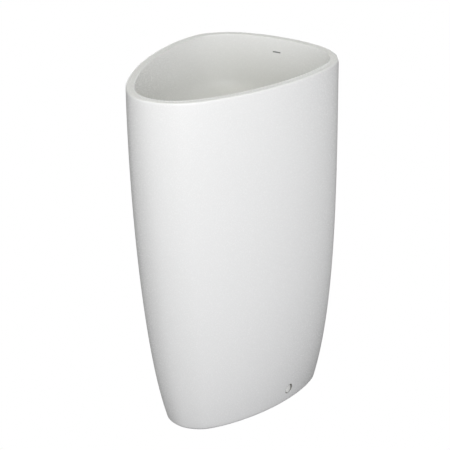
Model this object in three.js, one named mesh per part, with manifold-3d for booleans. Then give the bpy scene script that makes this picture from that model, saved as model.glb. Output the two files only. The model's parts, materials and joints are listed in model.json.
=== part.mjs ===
// Freestanding one-piece washbasin: a ceramic bowl and pedestal in one casting, with its
// push-to-close waste, bottle trap and concealed floor fixings as separate pieces.
// Millimetres. +Z is up, the floor is z = 0, the rounded point of the plan faces -Y and the
// flat side that stands against the wall faces +Y.
import * as THREE from 'three';
import Module from 'manifold-3d';
import { ParametricGeometry } from 'three/addons/geometries/ParametricGeometry.js';
import { mergeVertices } from 'three/addons/utils/BufferGeometryUtils.js';

// Overall sizes of the casting.
const RIM_HEIGHT = 850;
const RIM_WIDTH = 412;
const RIM_DEPTH = 582;

// How far each side of the plan has come in at the floor, and how late it does so.
const SIDE_TAPER = 70;
const SIDE_LATENESS = 3.12;
const FRONT_TAPER = 122;
const FRONT_LATENESS = 1.57;
const REAR_TAPER = 5;
const REAR_LATENESS = 2;
const FOOT_TUCK = 0.09;
const TUCK_POWER = 10;

// Roundness of the plan: its third to seventh cosine terms, as shares of its width.
const RIM_SHAPE = [0.0524, -0.0168, -0.0099, -0.0013, 0.0038];
const FOOT_SHAPE = [0.0492, -0.0296, -0.0106, 0.0046, 0.0029];

// Walls and edges of the casting.
const RIM_WALL = 20;
const FOOT_WALL = 18;
const RIM_OUTER_ROUND = 5;
const RIM_INNER_ROUND = 4;
const FOOT_ROUND = 8;
const FOOT_CHAMFER = 1.5;

// Bowl.
const BOWL_DEPTH = 160;
const BOWL_ROUND = 55;
const BOWL_ROUND_ANGLE = 84;
const BOWL_FALL = 9;
const FLOOR_THICKNESS = 16;
const ROOF_ROUND = 30;

// Drain seat.
const DRAIN_Y = 30;
const DRAIN_HOLE_RADIUS = 22.5;
const SEAT_RADIUS = 35;
const SEAT_DEPTH = 4;
const BOSS_THICKNESS = 18;
const BOSS_RADIUS = 45;

// Opening in the back for the plumbing.
const SERVICE_WIDTH = 170;
const SERVICE_BOTTOM = 120;
const SERVICE_ROUND = 40;
const SERVICE_MARGIN = 12;

// Floor fixings, one on each side.
const FIXING_Y = 80;
const FIXING_HEIGHT = 40;
const FIXING_HOLE_RADIUS = 7;
const FIXING_SEAT_RADIUS = 12;
const FIXING_SEAT_DEPTH = 7;
const FIXING_BORE_LENGTH = 80;
const FIXING_SEAT_LENGTH = 40;
const CAP_RADIUS = 11;
const CAP_WALL = 0.9;
const CAP_SKIRT = 1.6;
const CAP_CROWN = 0.8;
const HEAD_RADIUS = 5.5;
const HEAD_HEIGHT = 2.6;
const SCREW_RADIUS = 3;
const SCREW_BEYOND_NUT = 4;
const BUSH_FLANGE = 1.2;
const BRACKET_SETBACK = 20;
const BRACKET_THICKNESS = 3;
const BRACKET_WIDTH = 40;
const BRACKET_RISE = 62;
const BRACKET_FOOT = 48;
const BRACKET_CORNER = 8;
const BRACKET_FOOT_CORNER = 4;
const BRACKET_HOLE_RADIUS = 4.5;
const BRACKET_HOLE_REACH = 0.6;
const NUT_WIDTH = 10;
const NUT_HEIGHT = 5;

// Waste.
const FLANGE_RADIUS = 32;
const FLANGE_THICKNESS = 3;
const TAIL_RADIUS = 20.8;
const TAIL_BORE = 17.5;
const TAIL_LENGTH = 90;
const DISH_RADIUS = 28;
const TOP_SEAL_THICKNESS = 2;
const LOWER_SEAL_THICKNESS = 6;
const SLIP_WASHER_THICKNESS = 1.5;
const BACK_NUT_HEIGHT = 10;
const BACK_NUT_RADIUS = 30;
const BRIDGE_RISE = 12;
const BRIDGE_THICKNESS = 6;
const BRIDGE_WIDTH = 10;
const BRIDGE_BITE = 0.5;
const HUB_RADIUS = 8;

// Plug and the cartridge that holds it.
const PLUG_TRAVEL = 8;
const PLUG_RADIUS = 31;
const PLUG_EDGE = 2.4;
const PLUG_CROWN = 3;
const PLUG_BOSS_RADIUS = 7;
const PLUG_BOSS_LENGTH = 10;
const PLUG_SEAL_RADIUS = 22.5;
const PLUG_SEAL_WIDTH = 3;
const PLUG_SEAL_DROP = 1;
const STEM_RADIUS = 3;
const STEM_FOOT_RADIUS = 4.6;
const STEM_FOOT_HEIGHT = 4;
const BARREL_RADIUS = 6.6;
const BARREL_BORE = 5.1;
const BARREL_HEIGHT = 46;
const BARREL_COLLAR = 3;
const BARREL_FLOOR = 4;
const SPIGOT_RADIUS = 4;
const SPRING_RADIUS = 4;
const SPRING_WIRE = 0.45;
const SPRING_TURNS = 6;
const SPRING_STEPS = 8;

// Bottle trap.
const PIPE_RADIUS = 16;
const PIPE_WALL = 1.6;
const TRAP_NUT_RADIUS = 26;
const TRAP_NUT_HEIGHT = 24;
const TRAP_NUT_SHOULDER = 8;
const TRAP_SEAL_THICKNESS = 2.4;
const TUBE_FLANGE = 2.5;
const TUBE_LENGTH = 46;
const TRAP_RADIUS = 30;
const TRAP_WALL = 2.6;
const TRAP_DROP = 38;
const TRAP_SHOULDER = 6;
const TRAP_CROWN = 8;
const NECK_RADIUS = 20.8;
const NECK_HEIGHT = 16;
const DIP_BELOW = 14;
const CUP_HEIGHT = 62;
const CUP_OVERLAP = 16;
const CUP_WALL = 2.6;
const SPIGOT_LENGTH = 30;
const SPIGOT_MARGIN = 4;
const SPIGOT_ROOT = 4;
const ROSETTE_RADIUS = 34;
const ROSETTE_THICKNESS = 7;
const WALL_GAP = 1;

// Clearances and mesh fineness.
const GAP = 0.3;
const LOOSE = 0.8;
const AROUND_CASTING = 60;
const WALL_STEPS = 18;
const ROUND_STEPS = 4;
const AROUND = 20;

const wasm = await Module();
wasm.setup();

// Heights that follow from the sizes above.
const bowlFloorZ = RIM_HEIGHT - BOWL_DEPTH;
const drainZ = bowlFloorZ - BOWL_FALL;
const seatZ = drainZ - SEAT_DEPTH;
const bossZ = seatZ - BOSS_THICKNESS;
const flangeZ = seatZ + TOP_SEAL_THICKNESS + 2 * GAP;
const flangeTopZ = flangeZ + FLANGE_THICKNESS;
const tailZ = flangeZ - TAIL_LENGTH;
const bridgeTopZ = tailZ + BRIDGE_RISE + BRIDGE_THICKNESS;
const barrelZ = bridgeTopZ + GAP;
const barrelTopZ = barrelZ + BARREL_HEIGHT;
const plugZ = flangeTopZ + PLUG_TRAVEL + GAP + PLUG_SEAL_DROP / 2;
const stemFootZ = barrelTopZ - BARREL_COLLAR - GAP - STEM_FOOT_HEIGHT;
const trapTopZ = tailZ - TRAP_DROP;
const outletZ = trapTopZ - NECK_HEIGHT - NECK_RADIUS - SPIGOT_MARGIN;
const trapZ = outletZ - NECK_RADIUS - CUP_OVERLAP - SPIGOT_MARGIN;
const serviceTopZ = outletZ + ROSETTE_RADIUS + SERVICE_MARGIN;

// ---------------------------------------------------------------- shared makers

// A number part of the way from one value to another.
function between(from, to, share) {
  return from + (to - from) * share;
}

// How much of a taper is used at this share of the way down: slow at first, quicker at the foot.
function tuck(drop, lateness) {
  return (1 - FOOT_TUCK) * drop ** lateness + FOOT_TUCK * drop ** TUCK_POWER;
}

// The plan at a height, as the cosine terms of the distance from the centre to its tangent line.
function planAt(z) {
  const drop = 1 - z / RIM_HEIGHT;
  const sides = tuck(drop, SIDE_LATENESS);
  const width = RIM_WIDTH - 2 * SIDE_TAPER * sides;
  const rear = REAR_TAPER * tuck(drop, REAR_LATENESS);
  const depth = RIM_DEPTH - FRONT_TAPER * tuck(drop, FRONT_LATENESS) - rear;
  const fine = RIM_SHAPE.map((share, i) => width * between(share, FOOT_SHAPE[i], sides));
  const [third, fourth, fifth, sixth, seventh] = fine;
  const round = (width + depth) / 4 - fourth;
  const shift = (depth - RIM_DEPTH) / 2 + rear - third - fifth - seventh;
  const long = (depth - width) / 4 - sixth;
  return [round, shift, long, ...fine];
}

// A circle about the drain, as the same cosine terms.
function drainPlan(radius) {
  return [radius, -DRAIN_Y, ...Array(RIM_SHAPE.length + 1).fill(0)];
}

// The point of a plan whose outward normal is at this angle from the front, set in by an inset.
function planPoint(plan, inset, angle) {
  const reach = plan.reduce((sum, term, k) => sum + term * Math.cos(k * angle), -inset);
  const turn = plan.reduce((sum, term, k) => sum - k * term * Math.sin(k * angle), 0);
  const x = reach * Math.sin(angle) + turn * Math.cos(angle);
  const y = turn * Math.sin(angle) - reach * Math.cos(angle);
  return [x, y];
}

// Half the width of the casting's outside at a height, on the line y.
function halfWidthAt(y, z) {
  const plan = planAt(z);
  let low = 0;
  let high = Math.PI;
  for (let i = 0; i < 40; i += 1) {
    const middle = (low + high) / 2;
    if (planPoint(plan, 0, middle)[1] < y) low = middle;
    else high = middle;
  }
  return planPoint(plan, 0, low)[0];
}

// Where the seat of a fixing's cap lies across the basin.
function fixingSeatX() {
  return halfWidthAt(FIXING_Y, FIXING_HEIGHT) - FIXING_SEAT_DEPTH;
}

// A geometry as a closed solid, for joining and cutting.
function solid(geometry) {
  geometry.deleteAttribute('normal');
  geometry.deleteAttribute('uv');
  const merged = mergeVertices(geometry, 1e-4);
  const vertProperties = new Float32Array(merged.getAttribute('position').array);
  const triVerts = new Uint32Array(merged.getIndex().array);
  return new wasm.Manifold(new wasm.Mesh({ numProp: 3, vertProperties, triVerts }));
}

// A solid as a geometry.
function shape(body) {
  const mesh = body.getMesh();
  const geometry = new THREE.BufferGeometry();
  geometry.setAttribute('position', new THREE.BufferAttribute(mesh.vertProperties, 3));
  geometry.setIndex(new THREE.BufferAttribute(mesh.triVerts, 1));
  geometry.computeVertexNormals();
  return geometry;
}

// A turned shape about Z from [radius, height] points that run anticlockwise.
function turned(points) {
  const profile = points.map(([radius, height]) => new THREE.Vector2(radius, height));
  profile.push(profile[0].clone());
  return new THREE.LatheGeometry(profile, AROUND).rotateX(Math.PI / 2);
}

// A turned ring of rectangular section.
function ring(inner, outer, bottom, top) {
  return turned([[inner, bottom], [outer, bottom], [outer, top], [inner, top]]);
}

// A turned shape that is solid to the axis, from points that start and end on it.
function turnedToAxis(points) {
  const profile = points.map(([radius, height]) => new THREE.Vector2(radius, height));
  return new THREE.LatheGeometry(profile, AROUND).rotateX(Math.PI / 2);
}

// A flat outline in X and Y carried up Z from a height.
function extruded(outline, bottom, thickness, curveSegments = 6) {
  const settings = { depth: thickness, bevelEnabled: false, curveSegments };
  return new THREE.ExtrudeGeometry(outline, settings).translate(0, 0, bottom);
}

// A regular polygon with the given distance across its flats.
function polygon(sides, acrossFlats) {
  const radius = acrossFlats / 2 / Math.cos(Math.PI / sides);
  const corners = Array.from({ length: sides }, (_, i) => {
    const angle = (2 * Math.PI * (i + 0.5)) / sides;
    return new THREE.Vector2(radius * Math.cos(angle), radius * Math.sin(angle));
  });
  return new THREE.Shape(corners);
}

// A round hole for an outline.
function hole(radius, x = 0, y = 0) {
  return new THREE.Path().absarc(x, y, radius, 0, 2 * Math.PI, true);
}

// A rectangle with rounded corners, from its lower left corner.
function roundedRectangle(left, bottom, width, height, round) {
  const outline = new THREE.Shape();
  const right = left + width;
  const top = bottom + height;
  outline.absarc(right - round, bottom + round, round, -Math.PI / 2, 0, false);
  outline.absarc(right - round, top - round, round, 0, Math.PI / 2, false);
  outline.absarc(left + round, top - round, round, Math.PI / 2, Math.PI, false);
  outline.absarc(left + round, bottom + round, round, Math.PI, 1.5 * Math.PI, false);
  outline.closePath();
  return outline;
}

// A quarter round as [share across, share down] pairs, from the flat to the side.
function quarter(steps, lastAngle = 90) {
  return Array.from({ length: steps + 1 }, (_, i) => {
    const angle = THREE.MathUtils.degToRad((lastAngle * i) / steps);
    return [1 - Math.cos(angle), Math.sin(angle)];
  });
}

// A helix about Z, for the spring.
class Helix extends THREE.Curve {
  constructor(radius, bottom, height, turns) {
    super();
    Object.assign(this, { radius, bottom, height, turns });
  }

  getPoint(share, target = new THREE.Vector3()) {
    const angle = 2 * Math.PI * this.turns * share;
    const height = this.bottom + this.height * share;
    return target.set(this.radius * Math.cos(angle), this.radius * Math.sin(angle), height);
  }
}

// ---------------------------------------------------------------- casting

// Outside of the casting, from the foot's flat to the top of the rim.
function outsideRings() {
  const foot = quarter(ROUND_STEPS).map(([across, down]) => {
    const z = FOOT_ROUND * across;
    return { plan: planAt(z), inset: FOOT_ROUND * (1 - down), z };
  });
  const wallTop = RIM_HEIGHT - RIM_OUTER_ROUND;
  const wall = Array.from({ length: WALL_STEPS - 1 }, (_, i) => {
    const z = between(FOOT_ROUND, wallTop, (i + 1) / WALL_STEPS);
    return { plan: planAt(z), inset: 0, z };
  });
  const rim = quarter(ROUND_STEPS).map(([across, down]) => {
    const z = wallTop + RIM_OUTER_ROUND * down;
    return { plan: planAt(z), inset: RIM_OUTER_ROUND * across, z };
  });
  return [...foot, ...wall, ...rim];
}

// Inside of the bowl, from the top of the rim down to the drain hole.
function bowlRings() {
  const rim = quarter(ROUND_STEPS).map(([across, down]) => {
    const z = RIM_HEIGHT - RIM_INNER_ROUND * across;
    return { plan: planAt(z), inset: RIM_WALL - RIM_INNER_ROUND * (1 - down), z };
  });
  const roundTop = bowlFloorZ + BOWL_ROUND;
  const wall = [0.5].map((share) => {
    const z = between(RIM_HEIGHT - RIM_INNER_ROUND, roundTop, share);
    return { plan: planAt(z), inset: RIM_WALL, z };
  });
  const round = quarter(1.5 * ROUND_STEPS, BOWL_ROUND_ANGLE).map(([across, down]) => {
    const z = roundTop - BOWL_ROUND * down;
    return { plan: planAt(z), inset: RIM_WALL + BOWL_ROUND * across, z };
  });
  const edge = round[round.length - 1];
  const drain = drainPlan(SEAT_RADIUS);
  const floor = [1 / 3, 2 / 3, 1].map((share) => ({
    plan: edge.plan.map((term, k) => between(k ? term : term - edge.inset, drain[k], share)),
    inset: 0,
    z: between(edge.z, drainZ, share),
  }));
  const seat = [[SEAT_RADIUS, seatZ], [DRAIN_HOLE_RADIUS, seatZ], [DRAIN_HOLE_RADIUS, bossZ]];
  return [...rim, ...wall, ...round, ...floor, ...seat.map(([radius, z]) => drainRing(radius, z))];
}

// A round ring about the drain.
function drainRing(radius, z) {
  return { plan: drainPlan(radius), inset: 0, z };
}

// Hollow of the pedestal, from the drain boss out and down to the foot.
function hollowRings() {
  const roofZ = bowlFloorZ - FLOOR_THICKNESS;
  const boss = [drainRing(BOSS_RADIUS, bossZ), drainRing(BOSS_RADIUS + 2, drainZ - FLOOR_THICKNESS)];
  const round = quarter(ROUND_STEPS).reverse().map(([across, down]) => {
    const z = roofZ - ROOF_ROUND * (1 - down);
    return { plan: planAt(z), inset: FOOT_WALL + ROOF_ROUND * across, z };
  });
  const steps = WALL_STEPS / 3;
  const wall = Array.from({ length: steps }, (_, i) => {
    const z = between(roofZ - ROOF_ROUND, FOOT_CHAMFER, (i + 1) / steps);
    return { plan: planAt(z), inset: FOOT_WALL, z };
  });
  const foot = { plan: planAt(0), inset: FOOT_WALL - FOOT_CHAMFER, z: 0 };
  return [...boss, ...round, ...wall, foot];
}

// The casting's whole surface: its rings joined into one closed skin.
function castingSkin() {
  const rings = [...outsideRings(), ...bowlRings().slice(1), ...hollowRings()];
  rings.push(rings[0]);
  const last = rings.length - 1;
  const place = (u, v, target) => {
    const { plan, inset, z } = rings[Math.round(v * last)];
    const step = Math.round(u * AROUND_CASTING) % AROUND_CASTING;
    const [x, y] = planPoint(plan, inset, (2 * Math.PI * step) / AROUND_CASTING);
    target.set(x, y, z);
  };
  return new ParametricGeometry(place, AROUND_CASTING, last);
}

// The hole through one side for the floor fixing, with the cap's seat outside it.
function fixingHole(side) {
  const seatX = fixingSeatX();
  const bore = new THREE.CylinderGeometry(FIXING_HOLE_RADIUS, FIXING_HOLE_RADIUS, FIXING_BORE_LENGTH, AROUND);
  const seat = new THREE.CylinderGeometry(FIXING_SEAT_RADIUS, FIXING_SEAT_RADIUS, FIXING_SEAT_LENGTH);
  bore.rotateZ(Math.PI / 2).translate(side * seatX, FIXING_Y, FIXING_HEIGHT);
  const seatMiddle = seatX + FIXING_SEAT_LENGTH / 2;
  seat.rotateZ(Math.PI / 2).translate(side * seatMiddle, FIXING_Y, FIXING_HEIGHT);
  return solid(bore).add(solid(seat));
}

// The opening in the back through which the trap is reached.
function serviceHole() {
  const left = -SERVICE_WIDTH / 2;
  const height = serviceTopZ - SERVICE_BOTTOM;
  const outline = roundedRectangle(left, SERVICE_BOTTOM, SERVICE_WIDTH, height, SERVICE_ROUND);
  const start = RIM_DEPTH / 2 - 3 * FOOT_WALL;
  const settings = { depth: 6 * FOOT_WALL, bevelEnabled: false, curveSegments: 6 };
  const geometry = new THREE.ExtrudeGeometry(outline, settings);
  return solid(geometry.rotateX(Math.PI / 2).translate(0, start + 6 * FOOT_WALL, 0));
}

function basinBody() {
  const cuts = [serviceHole(), fixingHole(1), fixingHole(-1)];
  return shape(cuts.reduce((body, cut) => body.subtract(cut), solid(castingSkin())));
}

// ---------------------------------------------------------------- waste

function wasteBody() {
  const sleeve = turned([
    [TAIL_BORE, tailZ],
    [TAIL_RADIUS, tailZ],
    [TAIL_RADIUS, flangeZ],
    [FLANGE_RADIUS, flangeZ],
    [FLANGE_RADIUS, flangeTopZ - 1],
    [FLANGE_RADIUS - 1, flangeTopZ],
    [DISH_RADIUS, flangeTopZ],
    [TAIL_BORE + 2, flangeZ + 1],
    [TAIL_BORE, flangeZ - 2],
  ]);
  const length = 2 * (TAIL_BORE + BRIDGE_BITE);
  const bar = new THREE.BoxGeometry(length, BRIDGE_WIDTH, BRIDGE_THICKNESS);
  const middle = bridgeTopZ - BRIDGE_THICKNESS / 2;
  const hub = new THREE.CylinderGeometry(HUB_RADIUS, HUB_RADIUS, BRIDGE_THICKNESS, AROUND);
  const fit = SPIGOT_RADIUS + GAP;
  const bore = new THREE.CylinderGeometry(fit, fit, 3 * BRIDGE_THICKNESS, AROUND);
  hub.rotateX(Math.PI / 2).translate(0, 0, middle);
  bore.rotateX(Math.PI / 2).translate(0, 0, middle);
  const bridge = solid(bar.translate(0, 0, middle)).add(solid(hub)).subtract(solid(bore));
  return shape(solid(sleeve).add(bridge));
}

function wasteTopSeal() {
  const bottom = seatZ + GAP;
  return ring(TAIL_RADIUS + GAP, FLANGE_RADIUS - 1, bottom, bottom + TOP_SEAL_THICKNESS);
}

function wasteLowerSeal() {
  const top = bossZ - GAP;
  const inner = TAIL_RADIUS + GAP;
  const bottom = top - LOWER_SEAL_THICKNESS;
  return turned([[inner, bottom], [BACK_NUT_RADIUS, bottom], [BACK_NUT_RADIUS + 4, top], [inner, top]]);
}

function wasteSlipWasher() {
  const top = bossZ - LOWER_SEAL_THICKNESS - 2 * GAP;
  return ring(TAIL_RADIUS + GAP, BACK_NUT_RADIUS, top - SLIP_WASHER_THICKNESS, top);
}

function wasteBackNut() {
  const top = bossZ - LOWER_SEAL_THICKNESS - SLIP_WASHER_THICKNESS - 3 * GAP;
  const outline = polygon(6, 2 * BACK_NUT_RADIUS - 6);
  outline.holes.push(hole(TAIL_RADIUS + GAP));
  return extruded(outline, top - BACK_NUT_HEIGHT, BACK_NUT_HEIGHT, AROUND / 2);
}

function plugDome() {
  const bore = STEM_RADIUS + GAP;
  const top = plugZ + PLUG_EDGE;
  const crown = [0.9, 0.7, 0.4].map((share) => [PLUG_RADIUS * share, top + PLUG_CROWN * (1 - share ** 2)]);
  return turnedToAxis([
    [0, plugZ - 1],
    [bore, plugZ - 1],
    [bore, plugZ - PLUG_BOSS_LENGTH],
    [PLUG_BOSS_RADIUS, plugZ - PLUG_BOSS_LENGTH],
    [PLUG_BOSS_RADIUS, plugZ],
    [PLUG_RADIUS - 1, plugZ],
    [PLUG_RADIUS, plugZ + 1],
    [PLUG_RADIUS, top - 0.6],
    [PLUG_RADIUS - 0.6, top],
    ...crown,
    [0, top + PLUG_CROWN],
  ]);
}

function plugSeal() {
  const top = plugZ - GAP;
  return ring(PLUG_SEAL_RADIUS - PLUG_SEAL_WIDTH, PLUG_SEAL_RADIUS, top - PLUG_SEAL_DROP, top);
}

function plugStem() {
  const top = plugZ - 1 - GAP;
  return turnedToAxis([
    [0, stemFootZ],
    [STEM_FOOT_RADIUS, stemFootZ],
    [STEM_FOOT_RADIUS, stemFootZ + STEM_FOOT_HEIGHT],
    [STEM_RADIUS, stemFootZ + STEM_FOOT_HEIGHT],
    [STEM_RADIUS, top],
    [0, top],
  ]);
}

function plugCartridge() {
  const collar = barrelTopZ - BARREL_COLLAR;
  return turnedToAxis([
    [0, tailZ + BRIDGE_RISE - 2],
    [SPIGOT_RADIUS, tailZ + BRIDGE_RISE - 2],
    [SPIGOT_RADIUS, barrelZ],
    [BARREL_RADIUS, barrelZ],
    [BARREL_RADIUS, barrelTopZ],
    [STEM_RADIUS + GAP, barrelTopZ],
    [STEM_RADIUS + GAP, collar],
    [BARREL_BORE, collar],
    [BARREL_BORE, barrelZ + BARREL_FLOOR],
    [0, barrelZ + BARREL_FLOOR],
  ]);
}

function plugSpring() {
  const bottom = barrelZ + BARREL_FLOOR + GAP + SPRING_WIRE;
  const top = stemFootZ - GAP - SPRING_WIRE;
  const wire = new THREE.Shape().absarc(0, 0, SPRING_WIRE, 0, 2 * Math.PI, false);
  const path = new Helix(SPRING_RADIUS, bottom, top - bottom, SPRING_TURNS);
  const steps = SPRING_STEPS * SPRING_TURNS;
  const settings = { steps, extrudePath: path, bevelEnabled: false, curveSegments: 3 };
  return new THREE.ExtrudeGeometry(wire, settings);
}

// ---------------------------------------------------------------- bottle trap

// A compression nut about Z that grips a thread above its shoulder and a tube through it.
function trapNut(bottom, radius, thread) {
  const tube = PIPE_RADIUS + GAP;
  const shoulder = bottom + TRAP_NUT_SHOULDER;
  const top = bottom + TRAP_NUT_HEIGHT;
  return turned([
    [tube, bottom],
    [radius - 2, bottom],
    [radius, bottom + 2],
    [radius, top - 1],
    [radius - 1, top],
    [thread + GAP, top],
    [thread + GAP, shoulder],
    [tube, shoulder],
  ]);
}

// The flat seal that a compression nut squeezes against the end of its thread.
function trapSeal(end) {
  return ring(PIPE_RADIUS + GAP, NECK_RADIUS - GAP, end - GAP - TRAP_SEAL_THICKNESS, end - GAP);
}

// The nut on the waste's tail, which holds up the inlet tube by its flange.
function trapInletNut() {
  const reach = TRAP_SEAL_THICKNESS + TUBE_FLANGE + 3 * GAP + TRAP_NUT_SHOULDER;
  return trapNut(tailZ - reach, TRAP_NUT_RADIUS, TAIL_RADIUS);
}

// The nut on the trap's neck, which grips the inlet tube. It is a nut turned over.
function trapHeadNut() {
  const top = trapTopZ + TRAP_SEAL_THICKNESS + 2 * GAP + TRAP_NUT_SHOULDER;
  return trapNut(-top, TRAP_NUT_RADIUS, NECK_RADIUS).rotateX(Math.PI);
}

function trapHeadSeal() {
  return trapSeal(-trapTopZ).rotateX(Math.PI);
}

function trapInletTube() {
  const top = tailZ - TRAP_SEAL_THICKNESS - 2 * GAP;
  return turned([
    [PIPE_RADIUS - PIPE_WALL, top - TUBE_LENGTH],
    [PIPE_RADIUS, top - TUBE_LENGTH],
    [PIPE_RADIUS, top - TUBE_FLANGE],
    [NECK_RADIUS - GAP, top - TUBE_FLANGE],
    [NECK_RADIUS - GAP, top],
    [PIPE_RADIUS - PIPE_WALL, top],
  ]);
}

// The trap's upper half: a bottle open below, a neck above, a dip tube inside, a side spigot.
function trapBody() {
  const headTop = trapTopZ - NECK_HEIGHT;
  const socket = PIPE_RADIUS + LOOSE;
  const shell = turned([
    [TRAP_RADIUS - TRAP_WALL, trapZ],
    [TRAP_RADIUS, trapZ],
    [TRAP_RADIUS, headTop - TRAP_SHOULDER],
    [TRAP_RADIUS - TRAP_SHOULDER, headTop],
    [NECK_RADIUS, headTop],
    [NECK_RADIUS, trapTopZ],
    [socket, trapTopZ],
    [socket, trapZ - DIP_BELOW],
    [socket + 2, trapZ - DIP_BELOW],
    [socket + 2, headTop - TRAP_CROWN],
    [TRAP_RADIUS - TRAP_WALL, headTop - TRAP_CROWN],
  ]);
  const start = socket + SPIGOT_ROOT;
  const length = TRAP_RADIUS + SPIGOT_LENGTH - start;
  const spigot = new THREE.CylinderGeometry(NECK_RADIUS, NECK_RADIUS, length, AROUND);
  const bore = new THREE.CylinderGeometry(socket, socket, length + 2, AROUND);
  spigot.translate(0, start + length / 2, outletZ);
  bore.translate(0, start + length / 2, outletZ);
  return shape(solid(shell).add(solid(spigot)).subtract(solid(bore)));
}

function trapCup() {
  const top = trapZ + CUP_OVERLAP;
  const bottom = top - CUP_HEIGHT;
  const inner = TRAP_RADIUS + GAP;
  const outer = inner + CUP_WALL;
  const well = inner - 4;
  const ledge = trapZ - TRAP_SEAL_THICKNESS - 2 * GAP;
  return turnedToAxis([
    [0, bottom],
    [outer - 12, bottom],
    [outer - 4, bottom + 3],
    [outer, bottom + 12],
    [outer, top],
    [inner, top],
    [inner, ledge],
    [well, ledge],
    [well, bottom + 14],
    [well - 8, bottom + CUP_WALL + 2],
    [0, bottom + CUP_WALL],
  ]);
}

function trapCupSeal() {
  const top = trapZ - GAP;
  return ring(TRAP_RADIUS - TRAP_WALL, TRAP_RADIUS - GAP, top - TRAP_SEAL_THICKNESS, top);
}

// Turns a piece made about Z so that what was up faces forward, towards -Y, at the outlet.
function alongOutlet(geometry) {
  return geometry.rotateX(Math.PI / 2).translate(0, 0, outletZ);
}

// How far behind the drain's axis the spigot's mouth is.
const spigotEnd = TRAP_RADIUS + SPIGOT_LENGTH;
const wallPlane = RIM_DEPTH / 2 - WALL_GAP - DRAIN_Y;

function trapOutletPipe() {
  const start = TRAP_RADIUS + 4;
  return alongOutlet(ring(PIPE_RADIUS - PIPE_WALL, PIPE_RADIUS, -wallPlane, -start));
}

function trapOutletNut() {
  const reach = TRAP_SEAL_THICKNESS + 2 * GAP + TRAP_NUT_SHOULDER;
  return alongOutlet(trapNut(-spigotEnd - reach, TRAP_NUT_RADIUS, NECK_RADIUS));
}

function trapOutletSeal() {
  return alongOutlet(trapSeal(-spigotEnd));
}

function wallRosette() {
  const inner = PIPE_RADIUS + GAP;
  return alongOutlet(turned([
    [inner, -wallPlane],
    [ROSETTE_RADIUS, -wallPlane],
    [ROSETTE_RADIUS, -wallPlane + 1.5],
    [ROSETTE_RADIUS - 6, -wallPlane + 4.5],
    [inner + 3, -wallPlane + ROSETTE_THICKNESS],
    [inner, -wallPlane + ROSETTE_THICKNESS],
  ]));
}

// ---------------------------------------------------------------- floor fixings

// Each of these is made about Z, with Z pointing out of the basin's side, and then turned.
function toSide(geometry, side) {
  const turnedOut = geometry.rotateY(Math.PI / 2).translate(fixingSeatX(), FIXING_Y, FIXING_HEIGHT);
  return side > 0 ? turnedOut : turnedOut.rotateZ(Math.PI).translate(0, 2 * FIXING_Y, 0);
}

// Distance from the cap's seat in to the face of the bracket.
const bracketFace = -(FOOT_WALL + BRACKET_SETBACK - FIXING_SEAT_DEPTH);

function fixingBush(side) {
  const bore = SCREW_RADIUS + GAP;
  return toSide(turned([
    [bore, bracketFace + GAP],
    [FIXING_HOLE_RADIUS - GAP, bracketFace + GAP],
    [FIXING_HOLE_RADIUS - GAP, GAP],
    [CAP_RADIUS - 2, GAP],
    [CAP_RADIUS - 2, GAP + BUSH_FLANGE],
    [bore, GAP + BUSH_FLANGE],
  ]), side);
}

function fixingScrew(side) {
  const seat = 2 * GAP + BUSH_FLANGE;
  const end = bracketFace - BRACKET_THICKNESS - NUT_HEIGHT - SCREW_BEYOND_NUT;
  return toSide(turnedToAxis([
    [0, end],
    [SCREW_RADIUS - 1, end],
    [SCREW_RADIUS, end + 1],
    [SCREW_RADIUS, seat],
    [HEAD_RADIUS, seat],
    [HEAD_RADIUS - 1, seat + HEAD_HEIGHT - 0.5],
    [HEAD_RADIUS - 3, seat + HEAD_HEIGHT],
    [0, seat + HEAD_HEIGHT],
  ]), side);
}

function fixingCap(side) {
  const skirt = CAP_RADIUS - CAP_SKIRT;
  const under = BUSH_FLANGE + HEAD_HEIGHT + 3 * GAP;
  const top = under + CAP_WALL;
  return toSide(turnedToAxis([
    [0, under],
    [skirt, under],
    [skirt, GAP],
    [CAP_RADIUS, GAP],
    [CAP_RADIUS, top - 0.6],
    [CAP_RADIUS - 0.6, top],
    [CAP_RADIUS / 2, top + CAP_CROWN * 0.75],
    [0, top + CAP_CROWN],
  ]), side);
}

function bracketNut(side) {
  const outline = polygon(6, NUT_WIDTH);
  outline.holes.push(hole(SCREW_RADIUS + GAP));
  const top = bracketFace - BRACKET_THICKNESS - GAP;
  return toSide(extruded(outline, top - NUT_HEIGHT, NUT_HEIGHT), side);
}

// An angle bracket: its upright behind the hole in the casting, its foot on the floor.
function floorBracket(side) {
  const upright = new THREE.Shape();
  const half = BRACKET_WIDTH / 2;
  const inset = half - BRACKET_CORNER;
  const shoulder = BRACKET_RISE - BRACKET_CORNER;
  upright.moveTo(-half, 0).lineTo(half, 0).lineTo(half, shoulder);
  upright.absarc(inset, shoulder, BRACKET_CORNER, 0, Math.PI / 2, false);
  upright.absarc(-inset, shoulder, BRACKET_CORNER, Math.PI / 2, Math.PI, false);
  upright.closePath();
  upright.holes.push(hole(SCREW_RADIUS + GAP, 0, FIXING_HEIGHT));
  const settings = { depth: BRACKET_THICKNESS, bevelEnabled: false, curveSegments: 6 };
  const plate = new THREE.ExtrudeGeometry(upright, settings);
  plate.rotateX(Math.PI / 2).rotateZ(Math.PI / 2);
  const footSize = [BRACKET_FOOT, BRACKET_WIDTH, BRACKET_FOOT_CORNER];
  const foot = roundedRectangle(-BRACKET_FOOT, -half, ...footSize);
  foot.holes.push(hole(BRACKET_HOLE_RADIUS, -BRACKET_FOOT * BRACKET_HOLE_REACH, 0));
  const sole = extruded(foot, 0, BRACKET_THICKNESS);
  const face = fixingSeatX() + bracketFace;
  const body = solid(plate.translate(-BRACKET_THICKNESS, 0, 0)).add(solid(sole));
  const bracket = shape(body).translate(face, FIXING_Y, 0);
  return side > 0 ? bracket : bracket.rotateZ(Math.PI).translate(0, 2 * FIXING_Y, 0);
}

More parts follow.
